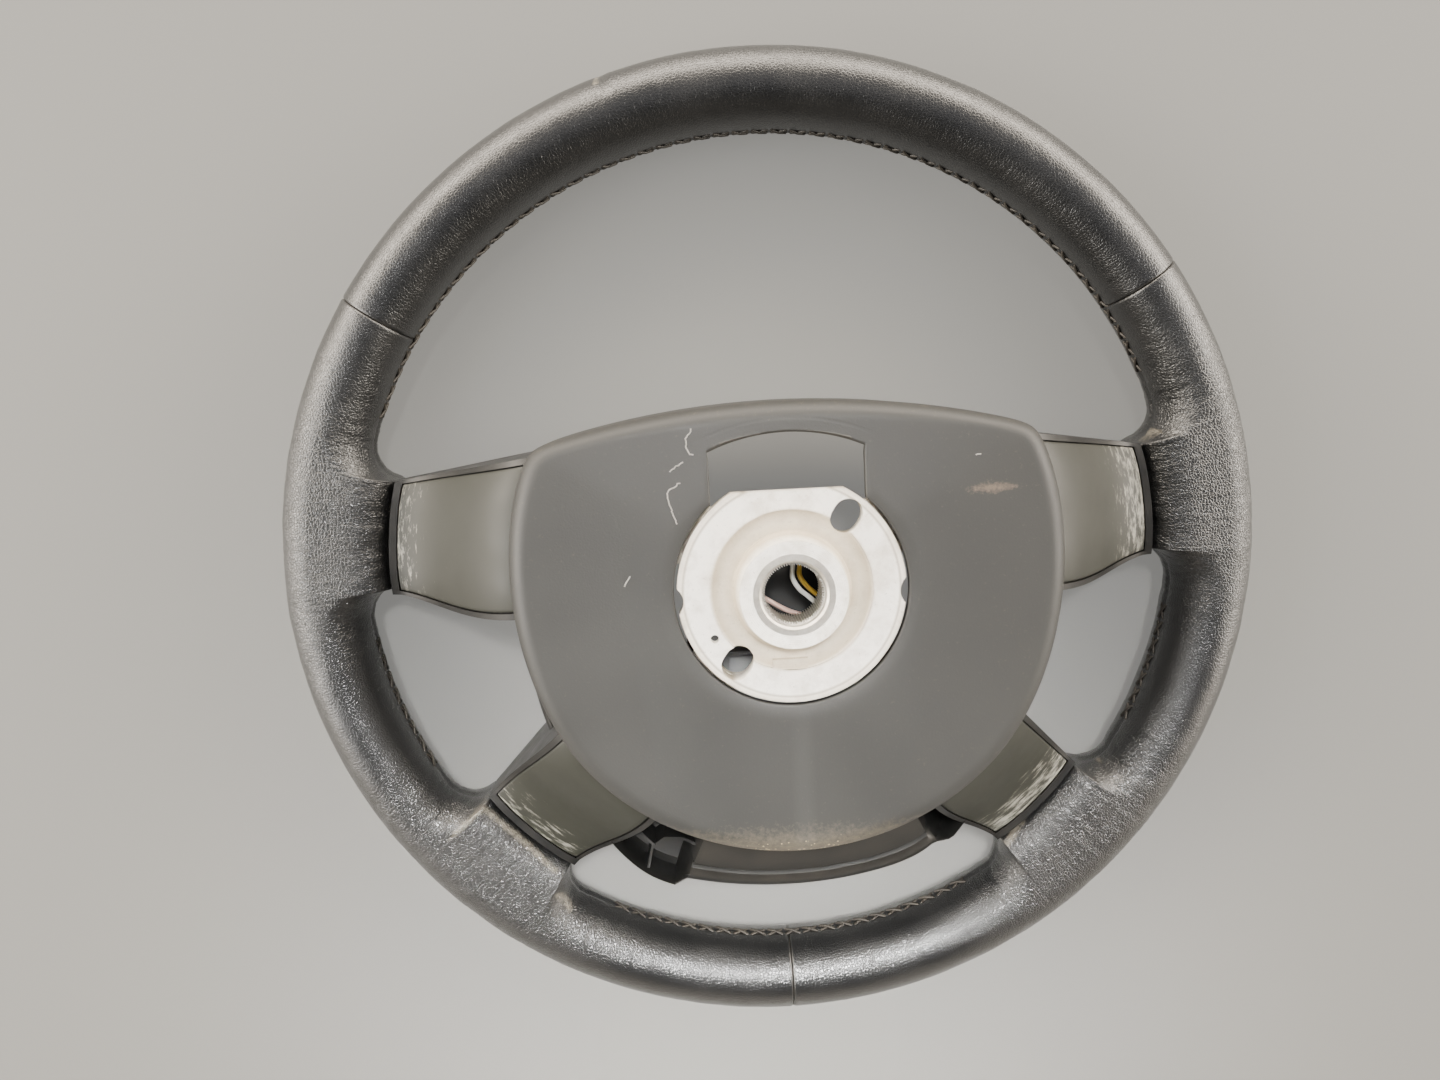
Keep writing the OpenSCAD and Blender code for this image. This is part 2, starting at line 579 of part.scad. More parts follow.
// Pan head screws, as a group.
head_t = 2.6;
module screw(r, low, high, point_up) {
    bar(r, low, high);
    if (point_up) bar(2 * r, low - head_t, low);
    if (!point_up) bar(2 * r, high, high + head_t);
}
module cover_screws() color("#8a8c8e")
    at_cover_screws() screw(screw_r - snug, screw_seat - screw_boss_t,
        cover_z - dome - shell_t - 2 * overrun, true);
module bezel_screws() color("#8a8c8e")
    at_bezel_screws() screw(bezel_screw_shank - snug, bezel_floor + overrun, bezel_pad_top, false);

// Horn contact: a bush in the frame, a sprung pin that the airbag pushes in, and its ring.
horn_bush_r = 4;
horn_pin_r = 2.5;
horn_flange_t = 1.5;
horn_head_t = 2;
horn_head_r = 5.6;
horn_ring_t = 1;
horn_drop = 12.5;         // how far a pin's head stands below its bush at rest
spring_r = 4.1;
wire_r = 0.5;
flange_z = horn_pad_top - horn_pad_t - horn_flange_t;
bush_top = horn_pad_top + horn_ring_t / 2;
head_z = flange_z - horn_drop;
module horn_bush() color("#d9d4c2") difference() {
    union() {
        bar(horn_bush_r, flange_z, bush_top);
        bar(horn_head_r, flange_z, flange_z + horn_flange_t);
    }
    bar(horn_pin_r + snug, flange_z - overrun, bush_top + overrun);
}
module horn_pin() color("#b08d4a") difference() {
    union() {
        bar(horn_pin_r, head_z, bush_top + 2 * horn_ring_t);
        bar(horn_head_r, head_z, head_z + horn_head_t);
    }
    difference() {
        bar(horn_pin_r + overrun, bush_top, bush_top + horn_ring_t);
        bar(horn_pin_r - horn_ring_t / 2, bush_top - overrun, bush_top + 2 * horn_ring_t);
    }
}
module horn_ring() color("#6b6d70") difference() {
    bar(horn_pin_r + horn_ring_t, bush_top, bush_top + horn_ring_t);
    bar(horn_pin_r - horn_ring_t / 2, bush_top - overrun, bush_top + 2 * horn_ring_t);
    translate([0, -horn_ring_t, bush_top - overrun]) cube([3 * horn_pin_r, 2 * horn_ring_t, 4 * horn_ring_t]);
}
spring_turns = 4.5;
spring_steps = 36;
module horn_spring() color("#9a9c9e") {
    low = head_z + horn_head_t + wire_r + snug;
    high = flange_z - wire_r - snug;
    tube([for (i = [0:spring_steps]) let (a = 360 * spring_turns * i / spring_steps)
        [spring_r * cos(a), spring_r * sin(a), mix(low, high, i / spring_steps)]], wire_r, 6);
}
module horn_bush_left() translate([-horn_x, upper_y(), 0]) horn_bush();
module horn_bush_right() translate([horn_x, upper_y(), 0]) horn_bush();
module horn_bush_lower() translate([0, -horn_low_y, 0]) horn_bush();
module horn_pin_left() translate([-horn_x, upper_y(), 0]) horn_pin();
module horn_pin_right() translate([horn_x, upper_y(), 0]) horn_pin();
module horn_pin_lower() translate([0, -horn_low_y, 0]) horn_pin();
module horn_ring_left() translate([-horn_x, upper_y(), 0]) horn_ring();
module horn_ring_right() translate([horn_x, upper_y(), 0]) horn_ring();
module horn_ring_lower() translate([0, -horn_low_y, 0]) horn_ring();
module horn_spring_left() translate([-horn_x, upper_y(), 0]) horn_spring();
module horn_spring_right() translate([horn_x, upper_y(), 0]) horn_spring();
module horn_spring_lower() translate([0, -horn_low_y, 0]) horn_spring();

// Black shield on the front of the hub, with the harness plug and the wires that cross it.
shield_drop = 31.5;       // how far the shield hangs below the hub plate
shield_t = 3;
shield_rim = 4;
shield_left = 35;
shield_right = 25;
shield_low = 40;
shield_high = 12;
shield_corner = 6;
post_r = 3;
post_x = 10;
post_y = 30;
post_sink = 3;
shield_z = plate_low - shield_drop;
shield_top = shield_z + shield_t;
post_top = plate_low - post_sink;
module shield_outline(inward) {
    w = shield_left + shield_right;
    d = shield_low + shield_high;
    c = shield_corner;
    translate([-shield_left, -shield_low]) union() {
        translate([inward, c]) square([w - 2 * inward, d - 2 * c]);
        translate([c, inward]) square([w - 2 * c, d - 2 * inward]);
        for (x = [c, w - c]) for (y = [c, d - c]) translate([x, y]) circle(r = c - inward);
    }
}
module wiring_shield() color("#1e1f21") {
    translate([0, 0, shield_z]) linear_extrude(shield_t) shield_outline(0);
    translate([0, 0, shield_top]) linear_extrude(shield_rim) difference() {
        shield_outline(0);
        shield_outline(shield_t / 2);
    }
    translate([post_x, -post_y, 0]) bar(post_r, shield_top, plate_low);
    translate([-pin_hole_x, -pin_hole_y, 0]) {
        bar(post_r, shield_top, post_top);
        bar(pin_hole_r - snug, post_top, hub_z - hub_t / 2);
    }
}

plug_x = 23;
plug_y = 37.5;
plug_l = 14;
plug_w = 11;
plug_h = 9;
plug_step = 2.5;
module harness_plug() color("#7b7d80") translate([-plug_x, -plug_y, shield_top]) {
    cube([plug_l, plug_w, plug_h - plug_step]);
    translate([plug_step, plug_step / 2, plug_h - plug_step])
        cube([plug_l - 2 * plug_step, plug_w - plug_step, plug_step]);
}

// A wire's route, as shares of the hub plate's radius across and of the gap between the shield and
// the hub plate in height. It is smoothed between the points, and its ends stand on the shield.
lead_r = 0.85;
wire_cut = 2;
white_route_shares = [[0.48, -0.54, 0.14], [0.42, -0.4, 0.39], [0.2, -0.17, 0.54], [0.115, -0.09, 0.58],
    [0.055, 0.02, 0.6], [0.065, 0.12, 0.51], [0.1, 0.2, 0.14]];
yellow_route_shares = [[0.58, -0.48, 0.14], [0.5, -0.35, 0.39], [0.25, -0.13, 0.54], [0.17, -0.045, 0.58],
    [0.12, 0.04, 0.6], [0.13, 0.125, 0.51], [0.17, 0.2, 0.14]];
pink_route_shares = [[-0.54, 0.05, 0.14], [-0.43, -0.03, 0.39], [-0.19, -0.17, 0.56], [0, -0.29, 0.53],
    [0.19, -0.38, 0.35], [0.27, -0.42, 0.14]];
function route(shares) = [for (k = shares) [hub_r * k[0], hub_r * k[1], mix(shield_top, plate_low, k[2])]];
function smooth_at(p, i, u) = let (a = p[max(i - 1, 0)], b = p[i], c = p[i + 1], d = p[min(i + 2, len(p) - 1)])
    (2 * b + u * (c - a) + u * u * (2 * a - 5 * b + 4 * c - d) + u * u * u * (3 * b - a - 3 * c + d)) / 2;
function smooth(p) = concat([for (i = [0:len(p) - 2]) for (k = [0:wire_cut - 1]) smooth_at(p, i, k / wire_cut)],
    [p[len(p) - 1]]);
function on_shield(p, h) = [p[0], p[1], shield_top + h];
function upright_ends(p) = let (m = len(p) - 1, h = 2 * lead_r)
    concat([on_shield(p[0], 0), on_shield(p[0], h)], smooth(p), [on_shield(p[m], h), on_shield(p[m], 0)]);
module lead(shares) tube(upright_ends(route(shares)), lead_r, 8);
module wire_white() color("#e6e6e2") lead(white_route_shares);
module wire_yellow() color("#cfa92c") lead(yellow_route_shares);
module wire_pink() color("#c98f86") lead(pink_route_shares);

armature();
spline_sleeve();
rim_core();
rim_foam();
leather_top();
leather_left();
leather_right();
back_cover();
front_bezel();
trim_upper_left();
trim_upper_right();
trim_lower_left();
trim_lower_right();
cover_screws();
bezel_screws();
horn_bush_left();
horn_bush_right();
horn_bush_lower();
horn_pin_left();
horn_pin_right();
horn_pin_lower();
horn_ring_left();
horn_ring_right();
horn_ring_lower();
horn_spring_left();
horn_spring_right();
horn_spring_lower();
wiring_shield();
harness_plug();
wire_white();
wire_yellow();
wire_pink();
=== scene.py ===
"""A car steering wheel with four spokes and a leather rim, lying face down with its column side up."""

from math import atan2, cos, degrees, hypot, pi, radians, sin, sqrt

import bpy
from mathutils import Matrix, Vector, noise


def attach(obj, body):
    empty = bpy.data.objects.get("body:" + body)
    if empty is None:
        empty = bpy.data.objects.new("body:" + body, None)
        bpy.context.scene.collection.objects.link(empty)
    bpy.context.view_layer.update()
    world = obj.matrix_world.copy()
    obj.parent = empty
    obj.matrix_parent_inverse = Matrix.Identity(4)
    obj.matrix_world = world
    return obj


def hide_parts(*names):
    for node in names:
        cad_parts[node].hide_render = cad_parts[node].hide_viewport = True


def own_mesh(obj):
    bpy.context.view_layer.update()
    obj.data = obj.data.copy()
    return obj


# The wheel's own solids, as packed, in metres. The camera is a phone's wide lens held over the
# column side, a little left of the hub and above its middle, and the wheel is turned in the picture
# by three degrees.
MM = 0.001
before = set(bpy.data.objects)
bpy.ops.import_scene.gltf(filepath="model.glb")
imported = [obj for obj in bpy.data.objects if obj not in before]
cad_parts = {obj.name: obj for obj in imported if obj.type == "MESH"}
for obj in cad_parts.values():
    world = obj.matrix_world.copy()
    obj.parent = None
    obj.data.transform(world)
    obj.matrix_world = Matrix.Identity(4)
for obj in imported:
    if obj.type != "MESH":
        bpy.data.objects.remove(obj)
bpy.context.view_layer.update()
bpy.ops.object.select_all(action="DESELECT")
bpy.ops.object.camera_add(
    location=(-31.3 * MM, 67.2 * MM, 441.1 * MM),
    rotation=(radians(-8.132), radians(-1.876), radians(-2.787)),
)
camera = bpy.context.object
camera.data.sensor_width = 36
camera.data.lens = 27.03
bpy.context.scene.camera = camera

# Leather. The rim is wrapped in three panels of black, finely grained hide, glued to the foam. At
# each spoke the hide runs in as a short square horn, with its grain pulled into fine creases, and
# the panels meet in tight seams. Hands have polished it, and its ridges are rubbed pale.
RIM_R = 175 * MM
RIM_Z = 18.5 * MM
GRIP_HALF_W = 15 * MM
GRIP_HALF_D = 18.5 * MM
LEATHER_END_R = 147 * MM
HORN_HALF = 12.5 * MM
HORN_FILLET = 13 * MM
HORN_SQUARE = 0.36
SPOKES = (6.2, -46.0, 173.8, 226.0)
SPOKE_HALF = 8.1
SEAM_DEPTH = 1.0 * MM
SEAM_STEPS = (0, 0.15, 0.4, 0.8, 1.4, 2.2)
LACE_HALF = 1.5 * MM
LACE_DEPTH = 0.9 * MM
SECTION = 112
HIDE_STEP = 1.0
PULL_NEAR = 11
PULL_FAR = 24

# Ridges that hands and knees have rubbed pale, as two ends in the plane of the rim, in mm.
RUBBED = (
    ((-130, -101.5), (-119, -93)),
    ((-119, -93), (-92, -121)),
    ((-92, -130), (-88, -138)),
    ((116, -87.5), (129, -91.5)),
    ((88, -122), (116, -88)),
    ((144.5, 38), (150, 41)),
    ((-57.6, 176), (-57, 180)),
)


def mix(a, b, s):
    return a + (b - a) * s


def limit(value):
    return min(max(value, 0), 1)


def turn_from(angle, middle):
    """How far an angle is from another, in degrees, the short way round."""
    return (angle - middle + 180) % 360 - 180


def to_spoke(angle):
    """How far an angle is from the nearest spoke, in degrees."""
    return min(abs(turn_from(angle, s)) for s in SPOKES)


def spoke_share(angle):
    """1 across a spoke, 0 away from it, and a round fillet between."""
    arc = radians(to_spoke(angle) - SPOKE_HALF) * LEATHER_END_R / HORN_FILLET
    if arc <= 0:
        return 1
    return 0 if arc >= 1 else 1 - sqrt(1 - (1 - arc) ** 2)


def hide_point(angle, q, sink):
    """A point of the hide, at an angle round the wheel and an angle round the rim's section."""
    share = spoke_share(angle)
    across = -cos(q) if cos(q) < 0 else 0
    out = RIM_R + (GRIP_HALF_W - sink) * cos(q)
    high = (GRIP_HALF_D - sink) * sin(q)
    if across:
        tall = mix(HORN_HALF, GRIP_HALF_D, sin(q) ** 2) - sink
        lift = abs(sin(q)) ** HORN_SQUARE * (1 if q < pi else -1)
        horn_out = RIM_R - (RIM_R - LEATHER_END_R - sink) * across**HORN_SQUARE
        out = mix(out, horn_out, share)
        high = mix(high, tall * lift, share)
    return out, RIM_Z + high


def pulled(angle):
    """1 where the hide is gathered at a spoke, 0 where it lies smooth."""
    return limit((PULL_FAR - to_spoke(angle)) / (PULL_FAR - PULL_NEAR))


def hide_relief(angle, q):
    """Dents, gathered creases by the spokes and the laced groove, as a depth below the smooth hide."""
    turn = radians(angle)
    at = Vector((cos(turn), sin(turn), 0)) * (RIM_R + GRIP_HALF_W * cos(q))
    at.z = GRIP_HALF_D * sin(q)
    depth = 0.16 * MM * noise.noise(at / (14 * MM)) + 0.05 * MM * noise.noise(at / (4 * MM))
    pull = pulled(angle)
    if pull:
        along = radians(angle) * RIM_R
        wave = 1 - min(1, abs(noise.noise(Vector((along / (3.4 * MM), q * 1.1, 7)))) * 5)
        broad = noise.noise(Vector((along / (9 * MM), q * 0.8, 3)))
        depth += pull * (0.35 + 0.65 * max(0, -cos(q))) * (0.34 * MM * wave + 0.5 * MM * broad)
    groove = abs(q - pi) * GRIP_HALF_D
    depth += (1 - spoke_share(angle)) * LACE_DEPTH * max(0, 1 - (groove / LACE_HALF) ** 2)
    knock = turn_from(angle, 107.3) / 0.7
    depth += 0.6 * MM * max(0, 1 - knock**2) * max(0, 1 - ((q - 0.75) / 0.6) ** 2)
    return depth


def bent_grid(name, rows, cols, place):
    """A flat grid bent to the shape that place(row, column) gives, and sewn where its edges meet."""
    bpy.ops.mesh.primitive_grid_add(x_subdivisions=rows, y_subdivisions=cols, size=1)
    piece = bpy.context.object
    piece.name = name
    for vertex in piece.data.vertices:
        row = round((vertex.co.x + 0.5) * rows)
        col = round((vertex.co.y + 0.5) * cols)
        vertex.co = place(row, col)
    bpy.ops.object.mode_set(mode="EDIT")
    bpy.ops.mesh.select_all(action="SELECT")
    bpy.ops.mesh.remove_doubles(threshold=0.001 * MM)
    bpy.ops.mesh.normals_make_consistent(inside=False)
    bpy.ops.object.mode_set(mode="OBJECT")
    bpy.ops.object.shade_smooth()
    return piece


def rubbed(point):
    """How much a place of the hide is rubbed, from 0 to 1."""
    best = 0
    for a, b in RUBBED:
        start, end = Vector(a) * MM, Vector(b) * MM
        run = end - start
        s = limit((point.xy - start).dot(run) / run.length_squared)
        best = max(best, 1 - (point.xy - start - run * s).length / (2.6 * MM))
    return best if point.z > RIM_Z else 0


def hide_panel(name, first, last):
    """One panel of hide between two seams, its ends turned in."""
    angles = [first + degrees(s * MM / RIM_R) for s in SEAM_STEPS]
    while angles[-1] < last - degrees(SEAM_STEPS[-1] * MM / RIM_R):
        fine = 0.3 if SPOKE_HALF - 0.6 < to_spoke(angles[-1]) < SPOKE_HALF + 1.5 else 1
        angles.append(angles[-1] + degrees(fine * HIDE_STEP * MM / RIM_R))
    angles[-1] = last - degrees(SEAM_STEPS[-1] * MM / RIM_R)
    angles += [last - degrees(s * MM / RIM_R) for s in reversed(SEAM_STEPS[:-1])]
    rings = len(angles)

    def place(row, col):
        ring = min(max(row - 1, 0), rings - 1)
        q = 2 * pi * (col % SECTION) / SECTION
        angle = angles[ring]
        end = min(angle - first, last - angle) * radians(1) * RIM_R / SEAM_DEPTH
        roll = 1 - sqrt(1 - (1 - end) ** 2) if end < 1 else 0
        sink = 1.6 * MM if row in (0, rings + 1) else SEAM_DEPTH * roll
        out, z = hide_point(angle, q, sink + hide_relief(angle, q))
        turn = radians(angle)
        return Vector((out * cos(turn), out * sin(turn), z))

    panel = bent_grid(name, rings + 1, SECTION, place)
    for key, kind in (("lay", "FLOAT_VECTOR"), ("pull", "FLOAT"), ("seam", "FLOAT"), ("wear", "FLOAT")):
        panel.data.attributes.new(key, kind, "POINT")
    lay, pull, seam, wear = (panel.data.attributes[key] for key in ("lay", "pull", "seam", "wear"))
    for i, vertex in enumerate(panel.data.vertices):
        spot = vertex.co
        angle = (first + last) / 2 + turn_from(degrees(atan2(spot.y, spot.x)), (first + last) / 2)
        q = atan2((spot.z - RIM_Z) / GRIP_HALF_D, (spot.xy.length - RIM_R) / GRIP_HALF_W)
        lay.data[i].vector = (radians(angle) * RIM_R, GRIP_HALF_W * cos(q), GRIP_HALF_D * sin(q))
        pull.data[i].value = pulled(angle)
        seam.data[i].value = radians(min(angle - first, last - angle)) * RIM_R
        wear.data[i].value = rubbed(spot)
    return panel


def finish(name):
    """A new material with its shader, and the coordinates that its patterns are laid out on."""
    material = bpy.data.materials.new(name)
    material.use_nodes = True
    tree = material.node_tree
    tree.nodes.clear()
    shader = tree.nodes.new("ShaderNodeBsdfPrincipled")
    out = tree.nodes.new("ShaderNodeOutputMaterial")
    tree.links.new(shader.outputs["BSDF"], out.inputs["Surface"])
    place = tree.nodes.new("ShaderNodeTexCoord")
    return material, tree, shader, place.outputs["Object"]


def hue(code):
    """An sRGB hex colour as linear light."""
    parts = [int(code[i : i + 2], 16) / 255 for i in (1, 3, 5)]
    return [c / 12.92 if c <= 0.04045 else ((c + 0.055) / 1.055) ** 2.4 for c in parts] + [1]


def add(tree, kind, inputs=(), stops=(), **settings):
    """Adds a node with its settings, links and colour stops, and returns its first result in use."""
    new = tree.nodes.new("ShaderNode" + kind)
    for key, value in settings.items():
        setattr(new, key, value)
    for key, value in dict(inputs).items():
        if isinstance(value, bpy.types.NodeSocket):
            tree.links.new(value, new.inputs[key])
        else:
            new.inputs[key].default_value = value
    for i, (place, code) in enumerate(stops):
        stop = new.color_ramp.elements.new(place) if i > 1 else new.color_ramp.elements[i]
        stop.position = place
        stop.color = hue(code)
    return next(socket for socket in new.outputs if socket.enabled)


def give(piece, material):
    """The piece shows this material all over."""
    piece.data.materials.clear()
    piece.data.materials.append(material)


# Chrome-tanned cowhide with a pigmented finish: near black, a satin shine, a pebble grain of about
# one millimetre, and dust and bare fibre where it is rubbed.
hide, tree, shader, spot = finish("grained_leather_polished_by_hands")
shader.inputs["IOR"].default_value = 1.75
shader.inputs["Coat Weight"].default_value = 0.5
shader.inputs["Coat Roughness"].default_value = 0.3
lay = tree.nodes.new("ShaderNodeAttribute")
lay.attribute_name = "lay"
pull = tree.nodes.new("ShaderNodeAttribute")
pull.attribute_name = "pull"
seam = tree.nodes.new("ShaderNodeAttribute")
seam.attribute_name = "seam"
wear = tree.nodes.new("ShaderNodeAttribute")
wear.attribute_name = "wear"
cells = add(tree, "TexVoronoi", {"Vector": spot, "Scale": 1 / (1.1 * MM)}, feature="DISTANCE_TO_EDGE")
pebble = add(tree, "MapRange", {"Value": cells, "From Min": 0, "From Max": 0.2})
patch = add(tree, "TexNoise", {"Vector": spot, "Scale": 1 / (20 * MM), "Detail": 4})
grain_depth = add(
    tree, "MapRange", {"Value": pull.outputs["Fac"], "From Min": 0, "From Max": 1, "To Min": 0.4, "To Max": 0.85}
)
grain = add(tree, "Math", {0: pebble, 1: grain_depth}, operation="MULTIPLY")
drawn = add(
    tree,
    "Mapping",
    {"Vector": lay.outputs["Vector"], "Scale": (1 / (1.7 * MM), 1 / (8 * MM), 1 / (8 * MM))},
)
gather = add(tree, "TexNoise", {"Vector": drawn, "Scale": 1, "Detail": 3, "Distortion": 0.6})
from_line = add(tree, "Math", {0: gather, 1: 0.5}, operation="SUBTRACT")
line_gap = add(tree, "Math", {0: from_line}, operation="ABSOLUTE")
crease = add(tree, "MapRange", {"Value": line_gap, "From Min": 0, "From Max": 0.07})
drawn_in = add(tree, "MapRange", {"Value": pull.outputs["Fac"], "To Min": 0.35, "To Max": 1})
creased = add(tree, "Math", {0: crease, 1: drawn_in}, operation="MULTIPLY")
fine = add(tree, "Bump", {"Height": grain, "Strength": 0.65, "Distance": 0.2 * MM})
relief = add(tree, "Bump", {"Height": creased, "Strength": 0.4, "Distance": 0.15 * MM, "Normal": fine})
tree.links.new(relief, shader.inputs["Normal"])
tree.links.new(relief, shader.inputs["Coat Normal"])
rough = add(
    tree, "MapRange", {"Value": patch, "From Min": 0.35, "From Max": 0.65, "To Min": 0.29, "To Max": 0.38}
)
tree.links.new(rough, shader.inputs["Roughness"])
speck = add(tree, "TexNoise", {"Vector": spot, "Scale": 1 / (1.4 * MM), "Detail": 5, "Roughness": 0.7})
on_seam = add(
    tree,
    "MapRange",
    {"Value": seam.outputs["Fac"], "From Min": 0.15 * MM, "From Max": 0.6 * MM, "To Min": 0.55, "To Max": 0},
)
bare = add(tree, "Math", {0: on_seam, 1: wear.outputs["Fac"]}, operation="MAXIMUM")
broken = add(tree, "Math", {0: bare, 1: speck}, operation="MULTIPLY")
rub = add(tree, "MapRange", {"Value": broken, "From Min": 0.24, "From Max": 0.52, "To Min": 0, "To Max": 0.45})
black = add(tree, "Mix", {"Factor": patch, "A": hue("#0e0f10"), "B": hue("#151515")}, data_type="RGBA")
worn = add(tree, "Mix", {"Factor": rub, "A": black, "B": hue("#a39a88")}, data_type="RGBA")
tree.links.new(worn, shader.inputs["Base Color"])

for name, first, last in (("leather_top", 34, 146), ("leather_left", 146, 270), ("leather_right", -90, 34)):
    panel = hide_panel(name + "_hide", first, last)
    give(panel, hide)
    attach(panel, "wheel")
    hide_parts(name)

# Lacing. A waxed thread crosses over the joint of the hide along the inside of the rim, one cross
# for each pair of awl holes, and stops short of the spokes. It has gone grey with dust.
LACE_PITCH = 7.2 * MM
LACE_REACH = 2.6 * MM
THREAD_R = 0.6 * MM


def thread(points, radius, name, sides=1):
    """A round thread through some points."""
    curve = bpy.data.curves.new(name, "CURVE")
    curve.dimensions = "3D"
    curve.bevel_depth = radius
    curve.bevel_resolution = sides
    curve.use_fill_caps = True
    line = curve.splines.new("POLY")
    line.points.add(len(points) - 1)
    for dot, point in zip(line.points, points):
        dot.co = (*point, 1)
    piece = bpy.data.objects.new(name, curve)
    bpy.context.collection.objects.link(piece)
    return piece


def join(parts, name):
    """Several objects as one mesh."""
    bpy.ops.object.select_all(action="DESELECT")
    for part in parts:
        part.select_set(True)
    bpy.context.view_layer.objects.active = parts[0]
    bpy.ops.object.convert(target="MESH")
    if len(parts) > 1:
        bpy.ops.object.join()
    piece = bpy.context.object
    piece.name = name
    return piece


def lace_point(angle, height, lift):
    turn = radians(angle)
    out = RIM_R - GRIP_HALF_W * sqrt(1 - (height / GRIP_HALF_D) ** 2) + 0.25 * MM - lift
    return Vector((out * cos(turn), out * sin(turn), RIM_Z + height))


threads = []
laced = 360 * LACE_PITCH / (2 * pi * (RIM_R - GRIP_HALF_W))
count = int(360 / laced)
for k in range(count):
    start = k * 360 / count
    stop = start + 360 / count
    if max(spoke_share(start - 2), spoke_share(stop + 2)) > 0:
        continue
    for way in (-1, 1):
        dots = []
        for s in (0, 0.15, 0.5, 0.85, 1):
            lift = (0.6 if way > 0 else 0.2) * MM * (1 - (2 * s - 1) ** 2) - (0.9 * MM if s in (0, 1) else 0)
            dots.append(lace_point(mix(start, stop, s), way * LACE_REACH * (2 * s - 1), lift))
        threads.append(thread(dots, THREAD_R, "stitch"))
lacing = join(threads, "rim_lacing")

# Waxed polyester: a dull dark grey-brown, with the twist of its plies showing as small ridges.
waxed, tree, shader, spot = finish("waxed_polyester_thread")
shader.inputs["Roughness"].default_value = 0.5
twist = add(tree, "TexNoise", {"Vector": spot, "Scale": 1 / (0.6 * MM), "Detail": 2})
grime = add(tree, "TexNoise", {"Vector": spot, "Scale": 1 / (9 * MM), "Detail": 3})
tone = add(tree, "Mix", {"Factor": grime, "A": hue("#242220"), "B": hue("#423d35")}, data_type="RGBA")
tree.links.new(tone, shader.inputs["Base Color"])
ply = add(tree, "Bump", {"Height": twist, "Strength": 0.5, "Distance": 0.2 * MM})
tree.links.new(ply, shader.inputs["Normal"])
give(lacing, waxed)
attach(lacing, "wheel")

# Back cover. A shallow moulded pan of black plastic, clipped over the frame on the column side, with
# a round hole for the hub and an arched window for the harness. It has faded to grey, is scratched
# by tools beside the window, and sandy dust lies along its lower edge.
COVER_HALF_W = 92.3
COVER_TOP = 61
COVER_LOW = 92
COVER_Z = 99
COVER_DOME = 2.6
COVER_ROUND = 7
SPLIT_Z = 64
SHELL_T = 2.6
SIDE_ARC = 135
TOP_ARC = 300
LOW_ARC = 95
SIDE_RISE = 8
HOLE_R = 38.2
WINDOW_HALF = 25
WINDOW_CORNER = 44.4
WINDOW_ARC = 62
WINDOW_TOP = 51
MARK_ABOVE = 4.6
AROUND = 360


def reach(angle, x, y, r):
    """How far a ray from the hub runs to a circle."""
    along = x * cos(angle) + y * sin(angle)
    return along + sqrt(along * along - x * x - y * y + r * r)


def inside_all(lengths, hardness=46):
    return sum(length**-hardness for length in lengths) ** (-1 / hardness)


def cover_reach(angle):
    """The cover's outline: a flat arc on top, two side arcs and a round arc below."""
    return inside_all(
        [
            reach(angle, 0, COVER_TOP - TOP_ARC, TOP_ARC),
            reach(angle, COVER_HALF_W - SIDE_ARC, SIDE_RISE, SIDE_ARC),
            reach(angle, SIDE_ARC - COVER_HALF_W, SIDE_RISE, SIDE_ARC),
            reach(angle, 0, LOW_ARC - COVER_LOW, LOW_ARC),
        ]
    )


def opening_reach(angle):
    """The hub hole's edge, which runs out into the window above the hub."""
    corner = atan2(WINDOW_CORNER, WINDOW_HALF)
    if sin(angle) <= 0 or HOLE_R * abs(cos(angle)) > WINDOW_HALF:
        return HOLE_R
    if abs(angle - pi / 2) > pi / 2 - corner:
        return max(HOLE_R, WINDOW_HALF / abs(cos(angle)))
    return reach(angle, 0, WINDOW_TOP - WINDOW_ARC, WINDOW_ARC)


def cover_profile():
    """Points across the pan from the hole outwards and back inside, as (place, outset, height)."""
    rows = []
    edge = 0.8
    for b in (0, 45, 90):
        turn = radians(b)
        rows.append(("hole", edge * (1 - cos(turn)), -edge * (1 - sin(turn))))
    rows += [("face", s, 0) for s in (0.12, 0.24, 0.36, 0.48, 0.6, 0.72, 0.84, 0.93)]
    for b in range(90, -1, -10):
        turn = radians(b)
        rows.append(("rim", COVER_ROUND * (1 - cos(turn)), COVER_Z - COVER_DOME - COVER_ROUND * (1 - sin(turn))))
    rows += [("rim", 0, 80), ("rim", 0, SPLIT_Z + 0.5), ("rim", 0.5, SPLIT_Z)]
    rows += [("rim", SHELL_T, SPLIT_Z), ("rim", SHELL_T, 80)]
    inner = COVER_ROUND - SHELL_T
    for b in range(0, 91, 30):
        turn = radians(b)
        rows.append(
            ("rim", COVER_ROUND - inner * cos(turn), COVER_Z - COVER_DOME - COVER_ROUND + inner * sin(turn))
        )
    rows += [("face", s, -SHELL_T) for s in (0.84, 0.6, 0.36, 0.12)]
    rows.append(("hole", 0, -SHELL_T))
    return rows


profile = cover_profile()


def cover_face_z(x, y):
    """The height of the cover's face at a place."""
    r = hypot(x, y)
    return COVER_Z - COVER_DOME * (r / (cover_reach(atan2(y, x)) - COVER_ROUND)) ** 2


def cover_place(row, col):
    angle = 2 * pi * (row % AROUND) / AROUND
    near = opening_reach(angle)
    far = cover_reach(angle)
    kind, across, height = profile[col % len(profile)]
    if kind == "rim":
        r = far - across
        z = height
    else:
        r = near + across if kind == "hole" else mix(near, far - COVER_ROUND, across)
        z = COVER_Z - COVER_DOME * (r / (far - COVER_ROUND)) ** 2 + height
    return Vector((r * cos(angle), r * sin(angle), z)) * MM


cover = bent_grid("back_cover_pan", AROUND, len(profile), cover_place)

